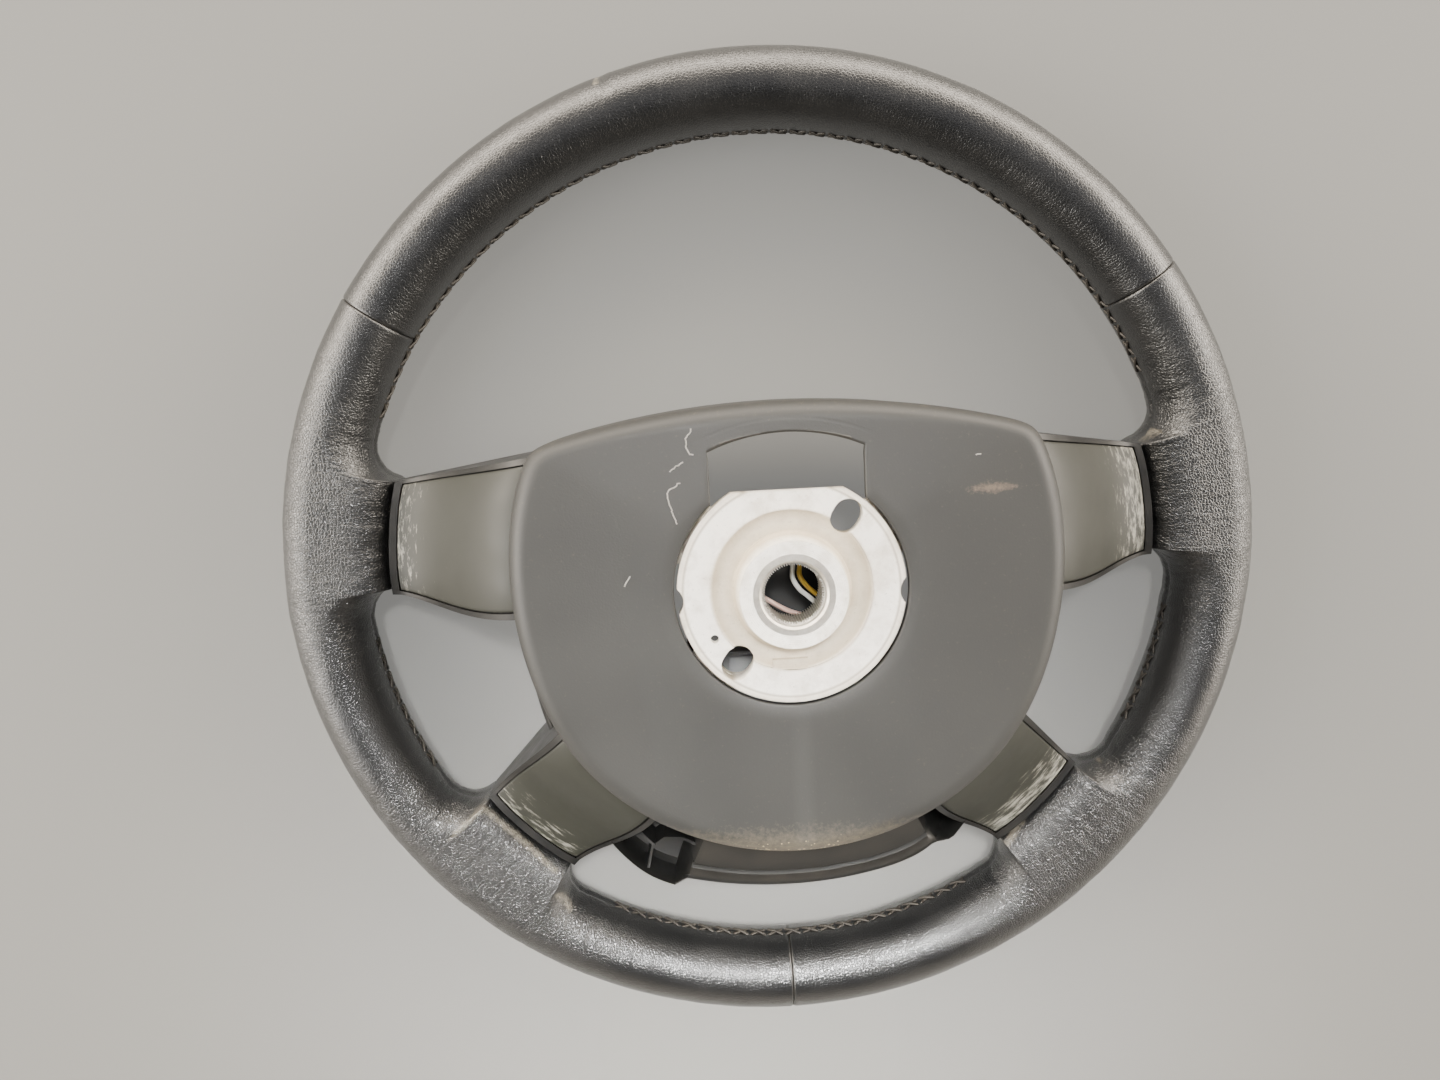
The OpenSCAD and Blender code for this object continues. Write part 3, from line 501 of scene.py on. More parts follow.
# Burrs that a slipped tool has raised in the face, beside the window and near the right edge.
BURRS = (
    ((-29.8, 53.4), (-31.5, 51.0), (-31.9, 48.1), (-30.8, 45.5), (-29.0, 45.1)),
    ((-32.9, 43.1), (-36.0, 41.3), (-38.2, 40.2)),
    ((-34.4, 36.7), (-36.8, 35.0), (-38.6, 34.2), (-38.5, 31.3), (-37.5, 28.2), (-36.8, 25.7), (-35.8, 22.9)),
    ((60.8, 40.7), (63.0, 41.1)),
    ((-52.0, 7.5), (-54.8, 3.2)),
)
BURR_R = 0.26
burrs = []
for line in BURRS:
    dots = []
    for (xa, ya), (xb, yb) in zip(line, line[1:]):
        for s in (0, 0.25, 0.5, 0.75):
            x, y = mix(xa, xb, s), mix(ya, yb, s)
            jog = 0.5 * noise.noise(Vector((x, y, 2)))
            dots.append(Vector((x + jog, y - jog, cover_face_z(x, y) - 0.05)) * MM)
    burrs.append(thread(dots, BURR_R * MM, "burr"))
burrs = join(burrs, "cover_scratch_burrs")

# Moulded polypropylene with a fine spark grain: a faded neutral grey with a satin shine, paler where it is rubbed,
# brown where dust has settled, and a faint painted highlight in the same beige round its shoulder.
moulded, tree, shader, spot = finish("moulded_pp_fine_spark_grain")
spark = add(tree, "TexNoise", {"Vector": spot, "Scale": 1 / (0.7 * MM), "Detail": 3})
cloud = add(tree, "TexNoise", {"Vector": spot, "Scale": 1 / (30 * MM), "Detail": 6, "Roughness": 0.6})
speck = add(tree, "TexNoise", {"Vector": spot, "Scale": 1 / (1.6 * MM), "Detail": 5, "Roughness": 0.75})
grit = add(tree, "TexVoronoi", {"Vector": spot, "Scale": 1 / (1.9 * MM)})
parts = add(tree, "SeparateXYZ", {"Vector": spot}).node.outputs
base = add(tree, "Mix", {"Factor": cloud, "A": hue("#2c2c2b"), "B": hue("#353533")}, data_type="RGBA")

# Dust thickens towards the lower edge. Round the pan's shoulder the same beige is a faint painted highlight, not
# dust.
low = add(
    tree,
    "MapRange",
    {"Value": parts["Y"], "From Min": -78 * MM, "From Max": -92 * MM, "To Min": 0, "To Max": 0.62},
)
shoulder_painted_highlight = add(
    tree,
    "MapRange",
    {"Value": parts["Z"], "From Min": 96.2 * MM, "From Max": 92 * MM, "To Min": 0, "To Max": 0.08},
)
dust_and_highlight_place = add(tree, "Math", {0: low, 1: shoulder_painted_highlight}, operation="ADD")
dust_and_highlight_specks = add(tree, "Math", {0: dust_and_highlight_place, 1: speck}, operation="ADD")
# This mask carries the lower edge's dust and the painted highlight round the shoulder.
dust = add(tree, "MapRange", {"Value": dust_and_highlight_specks, "From Min": 0.6, "From Max": 1.25, "To Min": 0, "To Max": 0.7})
dusty_and_highlit = add(tree, "Mix", {"Factor": dust, "A": base, "B": hue("#7a705e")}, data_type="RGBA")
crumb_room = add(
    tree, "MapRange", {"Value": low, "From Min": 0.2, "From Max": 0.62, "To Min": 0, "To Max": 0.4}
)
crumb_gap = add(tree, "Math", {0: crumb_room, 1: grit}, operation="SUBTRACT")
crumbs = add(
    tree, "MapRange", {"Value": crumb_gap, "From Min": 0, "From Max": 0.08, "To Min": 0, "To Max": 0.8}
)
crumbed = add(tree, "Mix", {"Factor": crumbs, "A": dusty_and_highlit, "B": hue("#b5a584")}, data_type="RGBA")

# A tan scuff crosses the right side, and a pale bloom runs down below the hub.
scuff_line = add(tree, "Mapping", {"Vector": spot, "Location": (-66 * MM, -30 * MM, 0)})
scuff_turned = add(
    tree, "Mapping", {"Vector": scuff_line, "Rotation": (0, 0, radians(20)), "Scale": (1, 4.6, 0)}
)
scuff_far = add(tree, "VectorMath", {0: scuff_turned}, operation="LENGTH")
scuff_in = add(
    tree, "MapRange", {"Value": scuff_far, "From Min": 15 * MM, "From Max": 3 * MM, "To Min": 0, "To Max": 0.55}
)
scuff_broken = add(tree, "Math", {0: scuff_in, 1: speck}, operation="ADD")
scuff = add(
    tree, "MapRange", {"Value": scuff_broken, "From Min": 0.78, "From Max": 1.1, "To Min": 0, "To Max": 0.6}
)
scuffed = add(tree, "Mix", {"Factor": scuff, "A": crumbed, "B": hue("#78695a")}, data_type="RGBA")
bloom_off = add(tree, "Math", {0: parts["X"], 1: 1.5 * MM}, operation="SUBTRACT")
bloom_gap = add(tree, "Math", {0: bloom_off}, operation="ABSOLUTE")
bloom_in = add(
    tree, "MapRange", {"Value": bloom_gap, "From Min": 4.5 * MM, "From Max": 1 * MM, "To Min": 0, "To Max": 0.1}
)
below = add(tree, "MapRange", {"Value": parts["Y"], "From Min": -38 * MM, "From Max": -48 * MM})
bloom = add(tree, "Math", {0: bloom_in, 1: below}, operation="MULTIPLY")
shown = add(tree, "Mix", {"Factor": bloom, "A": scuffed, "B": hue("#5c5c5a")}, data_type="RGBA")
tree.links.new(shown, shader.inputs["Base Color"])

# The faint line of the moulding insert, just above the window.
level = add(tree, "VectorMath", {0: spot, 1: (1, 1, 0)}, operation="MULTIPLY")
from_centre = add(
    tree, "VectorMath", {0: level, 1: (0, (WINDOW_TOP - WINDOW_ARC) * MM, 0)}, operation="DISTANCE"
)
insert_off = add(tree, "Math", {0: from_centre, 1: (WINDOW_ARC + MARK_ABOVE) * MM}, operation="SUBTRACT")
insert_gap = add(tree, "Math", {0: insert_off}, operation="ABSOLUTE")
insert_line = add(tree, "MapRange", {"Value": insert_gap, "From Min": 0.15 * MM, "From Max": 0.7 * MM})
side_gap = add(tree, "Math", {0: parts["X"]}, operation="ABSOLUTE")
side_end = add(tree, "MapRange", {"Value": side_gap, "From Min": 24 * MM, "From Max": 29 * MM})
over = add(tree, "MapRange", {"Value": parts["Y"], "From Min": 40 * MM, "From Max": 38 * MM})
marked = add(tree, "Math", {0: insert_line, 1: side_end}, operation="MAXIMUM")
mark = add(tree, "Math", {0: marked, 1: over}, operation="MAXIMUM")
fine = add(tree, "Bump", {"Height": spark, "Strength": 0.3, "Distance": 0.12 * MM})
relief = add(tree, "Bump", {"Height": mark, "Strength": 0.2, "Distance": 0.2 * MM, "Normal": fine})
tree.links.new(relief, shader.inputs["Normal"])
rough = add(
    tree, "MapRange", {"Value": cloud, "From Min": 0.3, "From Max": 0.7, "To Min": 0.46, "To Max": 0.56}
)
tree.links.new(rough, shader.inputs["Roughness"])
give(cover, moulded)
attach(cover, "wheel")
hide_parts("back_cover")

# The burrs are bare, stretched plastic, which turns whitish.
torn, tree, shader, spot = finish("torn_pp_whitened")
shader.inputs["Roughness"].default_value = 0.6
stretch = add(tree, "TexNoise", {"Vector": spot, "Scale": 1 / (1.1 * MM), "Detail": 3})
pale = add(tree, "Mix", {"Factor": stretch, "A": hue("#64625d"), "B": hue("#a9a69f")}, data_type="RGBA")
tree.links.new(pale, shader.inputs["Base Color"])
give(burrs, torn)
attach(burrs, "wheel")

# Spoke trims. Four thin shells, lacquered in a warm olive grey, run from the cover's wall down to
# the leather in an S. Rings and keys have scuffed their rim ends pale.
ARM_REACH_R = 143.6
TRIM_IN_Z = 74
TRIM_OUT_Z = 32.5
TRIM_T = 2.2
RAMP = 0.75
BOW = 0.048
CROWN = 1.2
FIT = 0.3
UPPER = {"out": (6.2, 8.1), "inn": (11.1, 15.7)}
LOWER = {"out": (-46, 8.1), "inn": (-46.3, 12.8)}


def spoke_xy(spoke, s, t, more=0):
    """A point of a spoke in plan: s runs from the rim to the cover and t across."""
    u = 2 * t - 1
    a0 = radians(spoke["out"][0] + u * (spoke["out"][1] + degrees(more / ARM_REACH_R)))
    a1 = radians(spoke["inn"][0] + u * (spoke["inn"][1] + 1.6 * degrees(more / COVER_HALF_W)))
    p0 = Vector((ARM_REACH_R * cos(a0), ARM_REACH_R * sin(a0)))
    far = cover_reach(a1) + FIT
    p1 = Vector((far * cos(a1), far * sin(a1)))
    d = p0 - p1
    bow = (1 - t) * BOW * sin(pi * limit(s))
    return p0.lerp(p1, s) + bow * Vector((d.y, -d.x))


def spoke_z(s):
    u = limit(s)
    return mix(TRIM_OUT_Z, TRIM_IN_Z, mix(u, u * u * (3 - 2 * u), RAMP))


def spoke_point(spoke, s, t, more=0, sink=0):
    xy = spoke_xy(spoke, s, t, more)
    return Vector((xy.x, xy.y, spoke_z(s) - CROWN * (2 * t - 1) ** 4 - sink)) * MM


def apply(piece, kind, **settings):
    """Adds a modifier and applies it."""
    bpy.context.view_layer.objects.active = piece
    modifier = piece.modifiers.new(kind.lower(), kind)
    for key, value in settings.items():
        setattr(modifier, key, value)
    bpy.ops.object.modifier_apply(modifier=modifier.name)


def mirrored(piece, name):
    """The same piece for the left side."""
    twin = piece.copy()
    twin.data = piece.data.copy()
    twin.name = name
    bpy.context.collection.objects.link(twin)
    for vertex in twin.data.vertices:
        vertex.co.x = -vertex.co.x
    twin.data.flip_normals()
    return twin


# Sprayed soft-touch lacquer on ABS: olive grey, a low sheen, and streaks across the rim end where
# it is rubbed through to its pale primer.
lacquer, tree, shader, spot = finish("lacquered_abs_olive_grey")
parts = add(tree, "SeparateXYZ", {"Vector": spot}).node.outputs
level = add(tree, "VectorMath", {0: spot, 1: (1, 1, 0)}, operation="MULTIPLY")
from_hub = add(tree, "VectorMath", {0: level}, operation="LENGTH")
cloud = add(tree, "TexNoise", {"Vector": spot, "Scale": 1 / (14 * MM), "Detail": 5})
speck = add(tree, "TexNoise", {"Vector": spot, "Scale": 1 / (1.3 * MM), "Detail": 6, "Roughness": 0.75})
round_hub = add(tree, "CombineXYZ", {"X": from_hub, "Y": parts["Y"], "Z": 0})
drawn = add(tree, "Mapping", {"Vector": round_hub, "Scale": (1 / (1.5 * MM), 1 / (7 * MM), 1)})
streak = add(tree, "TexNoise", {"Vector": drawn, "Scale": 1, "Detail": 5, "Roughness": 0.7})
rim_end = add(
    tree,
    "MapRange",
    {"Value": from_hub, "From Min": 118 * MM, "From Max": 142 * MM, "To Min": 0, "To Max": 0.3},
)
right_side = add(
    tree, "MapRange", {"Value": parts["X"], "From Min": -20 * MM, "From Max": 20 * MM, "To Min": -0.07, "To Max": 0}
)
placed = add(tree, "Math", {0: rim_end, 1: right_side}, operation="ADD")
rubs = add(tree, "Math", {0: streak, 1: placed}, operation="ADD")
rub = add(tree, "MapRange", {"Value": rubs, "From Min": 0.72, "From Max": 0.88, "To Min": 0, "To Max": 0.75})
chips = add(tree, "MapRange", {"Value": speck, "From Min": 0.69, "From Max": 0.74, "To Min": 0, "To Max": 0.5})
marks = add(tree, "Math", {0: rub, 1: chips}, operation="MAXIMUM")
clean = add(tree, "Mix", {"Factor": cloud, "A": hue("#21221c"), "B": hue("#292a23")}, data_type="RGBA")
coat = add(tree, "Mix", {"Factor": marks, "A": clean, "B": hue("#a5a397")}, data_type="RGBA")
tree.links.new(coat, shader.inputs["Base Color"])
rough = add(
    tree, "MapRange", {"Value": cloud, "From Min": 0.3, "From Max": 0.7, "To Min": 0.46, "To Max": 0.56}
)
tree.links.new(rough, shader.inputs["Roughness"])
fine = add(tree, "Bump", {"Height": speck, "Strength": 0.2, "Distance": 0.06 * MM})
tree.links.new(fine, shader.inputs["Normal"])

for level, spoke in (("upper", UPPER), ("lower", LOWER)):
    trim = bent_grid(
        f"trim_{level}_right_shell", 60, 40, lambda row, col, k=spoke: spoke_point(k, row / 60, col / 40)
    )
    if sum(p.normal.z for p in trim.data.polygons) < 0:
        trim.data.flip_normals()
    apply(trim, "SOLIDIFY", thickness=TRIM_T * MM, offset=-1)
    apply(trim, "BEVEL", width=0.5 * MM, segments=2, limit_method="ANGLE", angle_limit=radians(50))
    bpy.ops.object.select_all(action="DESELECT")
    trim.select_set(True)
    bpy.ops.object.shade_smooth_by_angle(angle=radians(40))
    other = mirrored(trim, f"trim_{level}_left_shell")
    for piece, side in ((trim, "right"), (other, "left")):
        give(piece, lacquer)
        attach(piece, "wheel")
        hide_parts(f"trim_{level}_{side}")

# Front bezel. The driver's side of the wheel: a deep frame round the airbag bay with four hollow
# arms, moulded in one from black plastic. Between the lower spokes its wall makes a rolled lip under
# the cover, which ends left and right in deep pockets, and two thin ribs brace the left one.
BEZEL_Z = 9
BEZEL_HALF_W = 97
BEZEL_TOP = 57
BEZEL_LOW = 131
BEZEL_SIDE_ARC = 150
BEZEL_SIDE_DROP = 18
BEZEL_LOW_ARC = 171
LIP_W = 9
LIP_ROUND = 5.5
COLLAR = 3.4
STRIP_W = 1.5
LEDGE_W = 1.6
ARM_LENGTH = 51.3
ARM_EDGE = 3
UPPER_Y = 18.9
SCREW_REACH = 122
BOSS_R = 5.6
BOSS_TOP = 20
BOSS_HOLE_R = 1.75
SLOT_IN = 140.2
SLOT_OUT = 150.4
SLOT_HALF = 9.3
SLOT_LOW = 12.2
SLOT_HIGH = 27.6


def bezel_reach(angle):
    """The bezel's outline, which bows out between the lower spokes."""
    return inside_all(
        [
            reach(angle, 0, BEZEL_TOP - TOP_ARC, TOP_ARC),
            reach(angle, BEZEL_HALF_W - BEZEL_SIDE_ARC, -BEZEL_SIDE_DROP, BEZEL_SIDE_ARC),
            reach(angle, BEZEL_SIDE_ARC - BEZEL_HALF_W, -BEZEL_SIDE_DROP, BEZEL_SIDE_ARC),
            reach(angle, 0, BEZEL_LOW_ARC - BEZEL_LOW, BEZEL_LOW_ARC),
        ]
    )


FLOOR_Z = BEZEL_Z + SHELL_T

# The wall from its straight foot up to the cover's edge, as shares: how far down it is, and how far
# out. The first pair is the rolled lip with its groove, the second the pocket beside it.
LIP_WALL = (
    ((0.6, 1), (0.68, 1)),
    ((0.535, 0.995), (0.4, 1)),
    ((0.5, 0.98), (0.36, 0.995)),
    ((0.455, 0.955), (0.345, 0.985)),
    ((0.42, 0.92), (0.36, 0.975)),
    ((0.39, 0.875), (0.5, 0.965)),
    ((0.375, 0.83), (0.62, 0.95)),
    ((0.372, 0.79), (0.66, 0.9)),
    ((0.39, 0.755), (0.67, 0.8)),
    ((0.41, 0.735), (0.67, 0.6)),
    ((0.375, 0.715), (0.67, 0.46)),
    ((0.3, 0.7), (0.66, 0.3)),
    ((0.25, 0.58), (0.62, 0.14)),
    ((0.2, 0.46), (0.5, 0.08)),
    ((0.1, 0.23), (0.25, 0.04)),
    ((0, 0), (0, 0)),
)
INNER_WALL = (
    ((0, 0), (0, 0)),
    ((0.12, 0.24), (0.4, 0.03)),
    ((0.24, 0.5), (0.74, 0.2)),
    ((0.46, 0.82), (0.75, 0.8)),
    ((0.64, 1), (0.78, 1)),
)
POCKET_LEFT = (236, 251.6)
POCKET_RIGHT = (296, 303)


def pocket(angle):
    """1 in the pockets beside the lip, 0 elsewhere. The left one starts with a sharp step."""
    turn = degrees(angle)
    left = min(limit((turn - POCKET_LEFT[0] + 2) / 2), limit((POCKET_LEFT[1] - turn) / 1.2))
    right = min(limit((turn - POCKET_RIGHT[0]) / 4), limit((POCKET_RIGHT[1] + 6 - turn) / 2))
    ease = max(left, right)
    return ease * ease * (3 - 2 * ease)


def bezel_rows(deep):
    """The frame's section, as (height, inset, share): the front, the wall and its inner side."""
    rows = [(BEZEL_Z, LIP_W, 1)]
    for b in range(0, 91, 15):
        turn = radians(b)
        rows.append((BEZEL_Z + LIP_ROUND * (1 - cos(turn)), LIP_ROUND * (1 - sin(turn)), 1))
    for lip, sunk in LIP_WALL:
        rows.append((mix(SPLIT_Z, BEZEL_Z, mix(lip[0], sunk[0], deep)), 0, mix(lip[1], sunk[1], deep)))
    for lip, sunk in INNER_WALL:
        rows.append((mix(SPLIT_Z, BEZEL_Z, mix(lip[0], sunk[0], deep)), SHELL_T, mix(lip[1], sunk[1], deep)))
    return rows + [(FLOOR_Z + SHELL_T, LIP_W / 2, 1), (FLOOR_Z, LIP_W, 1)]


def bezel_place(row, col):
    angle = 2 * pi * (row % AROUND) / AROUND
    rows = bezel_rows(pocket(angle))
    height, inward, share = rows[col % len(rows)]
    r = mix(cover_reach(angle), bezel_reach(angle), share) - inward
    return Vector((r * cos(angle), r * sin(angle), height)) * MM


def block(name, rings, across):
    """A closed block through rings of points. A ring runs along its underside, then back on top."""
    size = len(rings[0])

    def place(row, col):
        ring = rings[min(max(row - 1, 0), len(rings) - 1)]
        point = ring[col % size]
        if row in (0, len(rings) + 1):
            return (point + ring[(across - 1 - col) % size]) / 2
        return point

    return bent_grid(name, len(rings) + 1, size, place)


def arm_ring(spoke, s, steps=16):
    """The outside of a hollow arm at one place along it, with its front edges rounded."""
    wide = STRIP_W + FIT
    low = BEZEL_Z + 0.05
    level = spoke_point if s <= 1 else lambda k, a, t, more: level_point(k, a, t, more, SPLIT_Z - 0.05)
    edge = [(ARM_EDGE * (1 - sin(radians(b))), ARM_EDGE * (1 - cos(radians(b)))) for b in (0, 30, 60, 90)]
    ring = [level_point(spoke, s, i / steps, wide - ARM_EDGE, low) for i in range(1, steps)]
    for side, order in ((1, edge), (0, edge[::-1])):
        ring += [level_point(spoke, s, side, wide - inset, low + rise) for inset, rise in order]
        if side:
            ring += [level(spoke, s, 1 - i / steps, wide) for i in range(steps + 1)]
    return ring


def level_point(spoke, s, t, more, z):
    xy = spoke_xy(spoke, s, t, more)
    return Vector((xy.x, xy.y, z)) * MM


def band(low, high, steps):
    """A ring of points between an underside and a top, both as functions of the way across."""
    under = [low(i / steps) for i in range(steps + 1)]
    return under + [high(1 - i / steps) for i in range(steps + 1)]


def slab(name, spoke, places, more, low, high):
    """A closed block along a spoke, between a lower and an upper surface."""
    rings = [
        band(lambda t, a=s: low(spoke, a, t, more), lambda t, a=s: high(spoke, a, t, more), 16) for s in places
    ]
    return block(name, rings, 2 * 17)


def box(low, high, turn=0):
    """A plain block that cuts the way in for a cast spoke."""
    middle = [(a + b) / 2 * MM for a, b in zip(low, high)]
    bpy.ops.mesh.primitive_cube_add(size=1, location=middle)
    cutter = bpy.context.object
    cutter.scale = [(b - a) * MM for a, b in zip(low, high)]
    bpy.ops.object.transform_apply(location=True, rotation=True, scale=True)
    if turn:
        cutter.rotation_euler.z = radians(turn)
        bpy.ops.object.transform_apply(location=False, rotation=True, scale=False)
    return cutter


bezel = bent_grid("front_bezel_frame", AROUND, len(bezel_rows(0)), bezel_place)
parts = {"UNION": [], "DIFFERENCE": []}
climb = [i / 24 for i in range(25)]
for spoke, turn, centre in ((UPPER, 0, UPPER_Y), (LOWER, -46, 0)):
    places = [-(COLLAR - FIT) / ARM_LENGTH] + climb + [1.003, 1.06]
    outside = block("arm", [arm_ring(spoke, s) for s in places], 16 + 15 + 8)
    groove = slab(
        "groove",
        spoke,
        (0, 0.5, 1, 1.24),
        -LEDGE_W,
        lambda k, s, t, more: level_point(k, s, t, more, FLOOR_Z + 0.03),
        lambda k, s, t, more: level_point(k, s, t, more, COVER_Z),
    )
    recess = slab(
        "recess",
        spoke,
        [-0.006] + climb[1:] + [1.06],
        FIT,
        lambda k, s, t, more: spoke_point(k, s, t, more, TRIM_T + 0.05),
        lambda k, s, t, more: level_point(k, s, t, more, COVER_Z + 1),
    )
    slot = box((SLOT_IN, centre - SLOT_HALF, SLOT_LOW), (SLOT_OUT, centre + SLOT_HALF, SLOT_HIGH), turn)
    for part, kind in ((outside, "UNION"), (groove, "DIFFERENCE"), (recess, "DIFFERENCE"), (slot, "DIFFERENCE")):
        parts[kind] += [part, mirrored(part, part.name + "_left")]
for kind in ("UNION", "DIFFERENCE"):
    for part in parts[kind]:
        apply(bezel, "BOOLEAN", operation=kind, object=part, solver="EXACT")
        bpy.data.objects.remove(part)

# Screw bosses on the floor of the arms, and the two ribs in the left pocket.
RIBS = (
    ((-34, -110), (-41, -106.5), (-48, -105.5), (-53, -109), (-55, -117)),
    ((-52, -108.5), (-57, -103.5), (-62, -96)),
)
RIB_TOP = 43
RIB_LOW = 24
RIB_T = 1.8
pieces = [bezel]
for side in (-1, 1):
    for x, y in (
        (SCREW_REACH, UPPER_Y),
        (SCREW_REACH * cos(radians(-46)), SCREW_REACH * sin(radians(-46))),
    ):
        bpy.ops.object.select_all(action="DESELECT")
        bpy.ops.mesh.primitive_cylinder_add(
            vertices=32,
            radius=BOSS_R * MM,
            depth=(BOSS_TOP - FLOOR_Z + 1) * MM,
            location=(side * x * MM, y * MM, (BOSS_TOP + FLOOR_Z - 1) / 2 * MM),
        )
        boss = bpy.context.object
        bpy.ops.object.transform_apply(location=True, rotation=False, scale=False)
        bpy.ops.object.mode_set(mode="EDIT")
        bpy.ops.mesh.select_mode(type="FACE")
        bpy.ops.mesh.select_all(action="DESELECT")
        bpy.ops.object.mode_set(mode="OBJECT")
        for face in boss.data.polygons:
            face.select = face.normal.z > 0.9
        bpy.ops.object.mode_set(mode="EDIT")
        bpy.ops.mesh.inset(thickness=(BOSS_R - BOSS_HOLE_R) * MM)
        bpy.ops.mesh.extrude_region_move(
            TRANSFORM_OT_translate={"value": (0, 0, -(BOSS_TOP - FLOOR_Z - 0.05) * MM)}
        )
        bpy.ops.object.mode_set(mode="OBJECT")
        pieces.append(boss)
for rib in RIBS:
    dots = [Vector(p) for p in rib]
    rings = []
    for i, dot in enumerate(dots):
        run = (dots[min(i + 1, len(dots) - 1)] - dots[max(i - 1, 0)]).normalized()
        side = Vector((-run.y, run.x)) * RIB_T / 2
        low, high = RIB_LOW, RIB_TOP - 1.2 * (i % 2)
        rings.append(
            [
                Vector((dot.x - side.x, dot.y - side.y, low)) * MM,
                Vector((dot.x + side.x, dot.y + side.y, low)) * MM,
                Vector((dot.x + side.x * 0.6, dot.y + side.y * 0.6, high)) * MM,
                Vector((dot.x - side.x * 0.6, dot.y - side.y * 0.6, high)) * MM,
            ]
        )
    pieces.append(block("rib", rings, 4))
bezel = join(pieces, "front_bezel_frame")
facing_up = bezel.data.attributes.new("upward", "FLOAT", "POINT")
for vertex in bezel.data.vertices:
    facing_up.data[vertex.index].value = max(0, vertex.normal.z)
bpy.ops.object.select_all(action="DESELECT")
bezel.select_set(True)
bpy.ops.object.shade_smooth_by_angle(angle=radians(35))

# Moulded ABS, worn to a satin black-brown, with a fine grain and grey dust on its ledges.
grained, tree, shader, spot = finish("moulded_abs_black_satin")
spark = add(tree, "TexNoise", {"Vector": spot, "Scale": 1 / (0.8 * MM), "Detail": 3})
cloud = add(tree, "TexNoise", {"Vector": spot, "Scale": 1 / (11 * MM), "Detail": 6, "Roughness": 0.65})
upward = tree.nodes.new("ShaderNodeAttribute")
upward.attribute_name = "upward"
lying = add(tree, "Math", {0: upward.outputs["Fac"], 1: cloud}, operation="MULTIPLY")
dust = add(tree, "MapRange", {"Value": lying, "From Min": 0.25, "From Max": 0.6, "To Min": 0, "To Max": 0.5})
tone = add(tree, "Mix", {"Factor": dust, "A": hue("#161615"), "B": hue("#35322d")}, data_type="RGBA")
tree.links.new(tone, shader.inputs["Base Color"])
rough = add(
    tree, "MapRange", {"Value": cloud, "From Min": 0.3, "From Max": 0.7, "To Min": 0.34, "To Max": 0.48}
)
tree.links.new(rough, shader.inputs["Roughness"])
bump = add(tree, "Bump", {"Height": spark, "Strength": 0.25, "Distance": 0.1 * MM})
tree.links.new(bump, shader.inputs["Normal"])
give(bezel, grained)
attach(bezel, "wheel")
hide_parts("front_bezel")

# Cast frame. Hub plate, boss, spokes and the collars on the rim's core are one pressure die casting.
# The plate's face is bright and mottled, with a tan stain in its round groove where the column's
# clock spring sat, a turned boss and a rubbed band near its edge.
HUB_R = 37.2
cast, tree, shader, spot = finish("die_cast_aluminium_mottled")
shader.inputs["Metallic"].default_value = 0.1
flow = add(tree, "TexNoise", {"Vector": spot, "Scale": 1 / (8 * MM), "Detail": 8, "Roughness": 0.7})
pit = add(tree, "TexNoise", {"Vector": spot, "Scale": 1 / (1.2 * MM), "Detail": 5, "Roughness": 0.7})
level = add(tree, "VectorMath", {0: spot, 1: (1, 1, 0)}, operation="MULTIPLY")
from_axis = add(tree, "VectorMath", {0: level}, operation="LENGTH")
share = add(tree, "MapRange", {"Value": from_axis, "From Min": 0, "From Max": HUB_R * MM})
bands = add(
    tree,
    "ValToRGB",
    {"Fac": share},
    stops=(
        (0.0, "#fbf9f3"),
        (0.46, "#f8f4ea"),
        (0.5, "#c4b69d"),
        (0.6, "#d3c8b4"),
        (0.69, "#cbbda4"),
        (0.73, "#fbf6ec"),
        (0.93, "#fbf7ee"),
        (0.95, "#b5ac9c"),
        (0.965, "#e9e2d5"),
        (1.0, "#d9d1c3"),
    ),
)
mottle = add(
    tree, "MapRange", {"Value": flow, "From Min": 0.3, "From Max": 0.55, "To Min": 0.45, "To Max": 0}
)
skin = add(tree, "Mix", {"Factor": mottle, "A": bands, "B": hue("#a5967d")}, data_type="RGBA")
stain = add(tree, "MapRange", {"Value": pit, "From Min": 0.6, "From Max": 0.72, "To Min": 0, "To Max": 0.45})
spotted = add(tree, "Mix", {"Factor": stain, "A": skin, "B": hue("#7d7262")}, data_type="RGBA")
tree.links.new(spotted, shader.inputs["Base Color"])
dull = add(
    tree, "MapRange", {"Value": pit, "From Min": 0.3, "From Max": 0.7, "To Min": 0.42, "To Max": 0.62}
)
tree.links.new(dull, shader.inputs["Roughness"])

# Tool marks 0.6 mm apart on the boss, and a skin pitted by the die elsewhere.
swing = add(tree, "Math", {0: from_axis, 1: 2 * pi / (0.6 * MM)}, operation="MULTIPLY")
turned = add(tree, "Math", {0: swing}, operation="SINE")
on_boss = add(
    tree, "MapRange", {"Value": from_axis, "From Min": 17.6 * MM, "From Max": 17 * MM, "To Min": 0, "To Max": 0.3}
)
marks = add(tree, "Math", {0: turned, 1: on_boss}, operation="MULTIPLY")
height = add(tree, "Math", {0: marks, 1: pit}, operation="ADD")
bump = add(tree, "Bump", {"Height": height, "Strength": 0.4, "Distance": 0.22 * MM})
tree.links.new(bump, shader.inputs["Normal"])


def dress(name, material, edge=0.0):
    """A CAD piece shows this material, and its edges are broken as the real ones are."""
    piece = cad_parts[name]
    for i in range(len(piece.material_slots)):
        piece.material_slots[i].material = material
    if edge:
        weld = piece.modifiers.new("weld", "WELD")
        weld.merge_threshold = 0.002 * MM
        bevel = piece.modifiers.new("edge", "BEVEL")
        bevel.width = edge * MM
        bevel.segments = 2
        bevel.limit_method = "ANGLE"
        bevel.angle_limit = radians(40)


dress("armature", cast, edge=0.35)

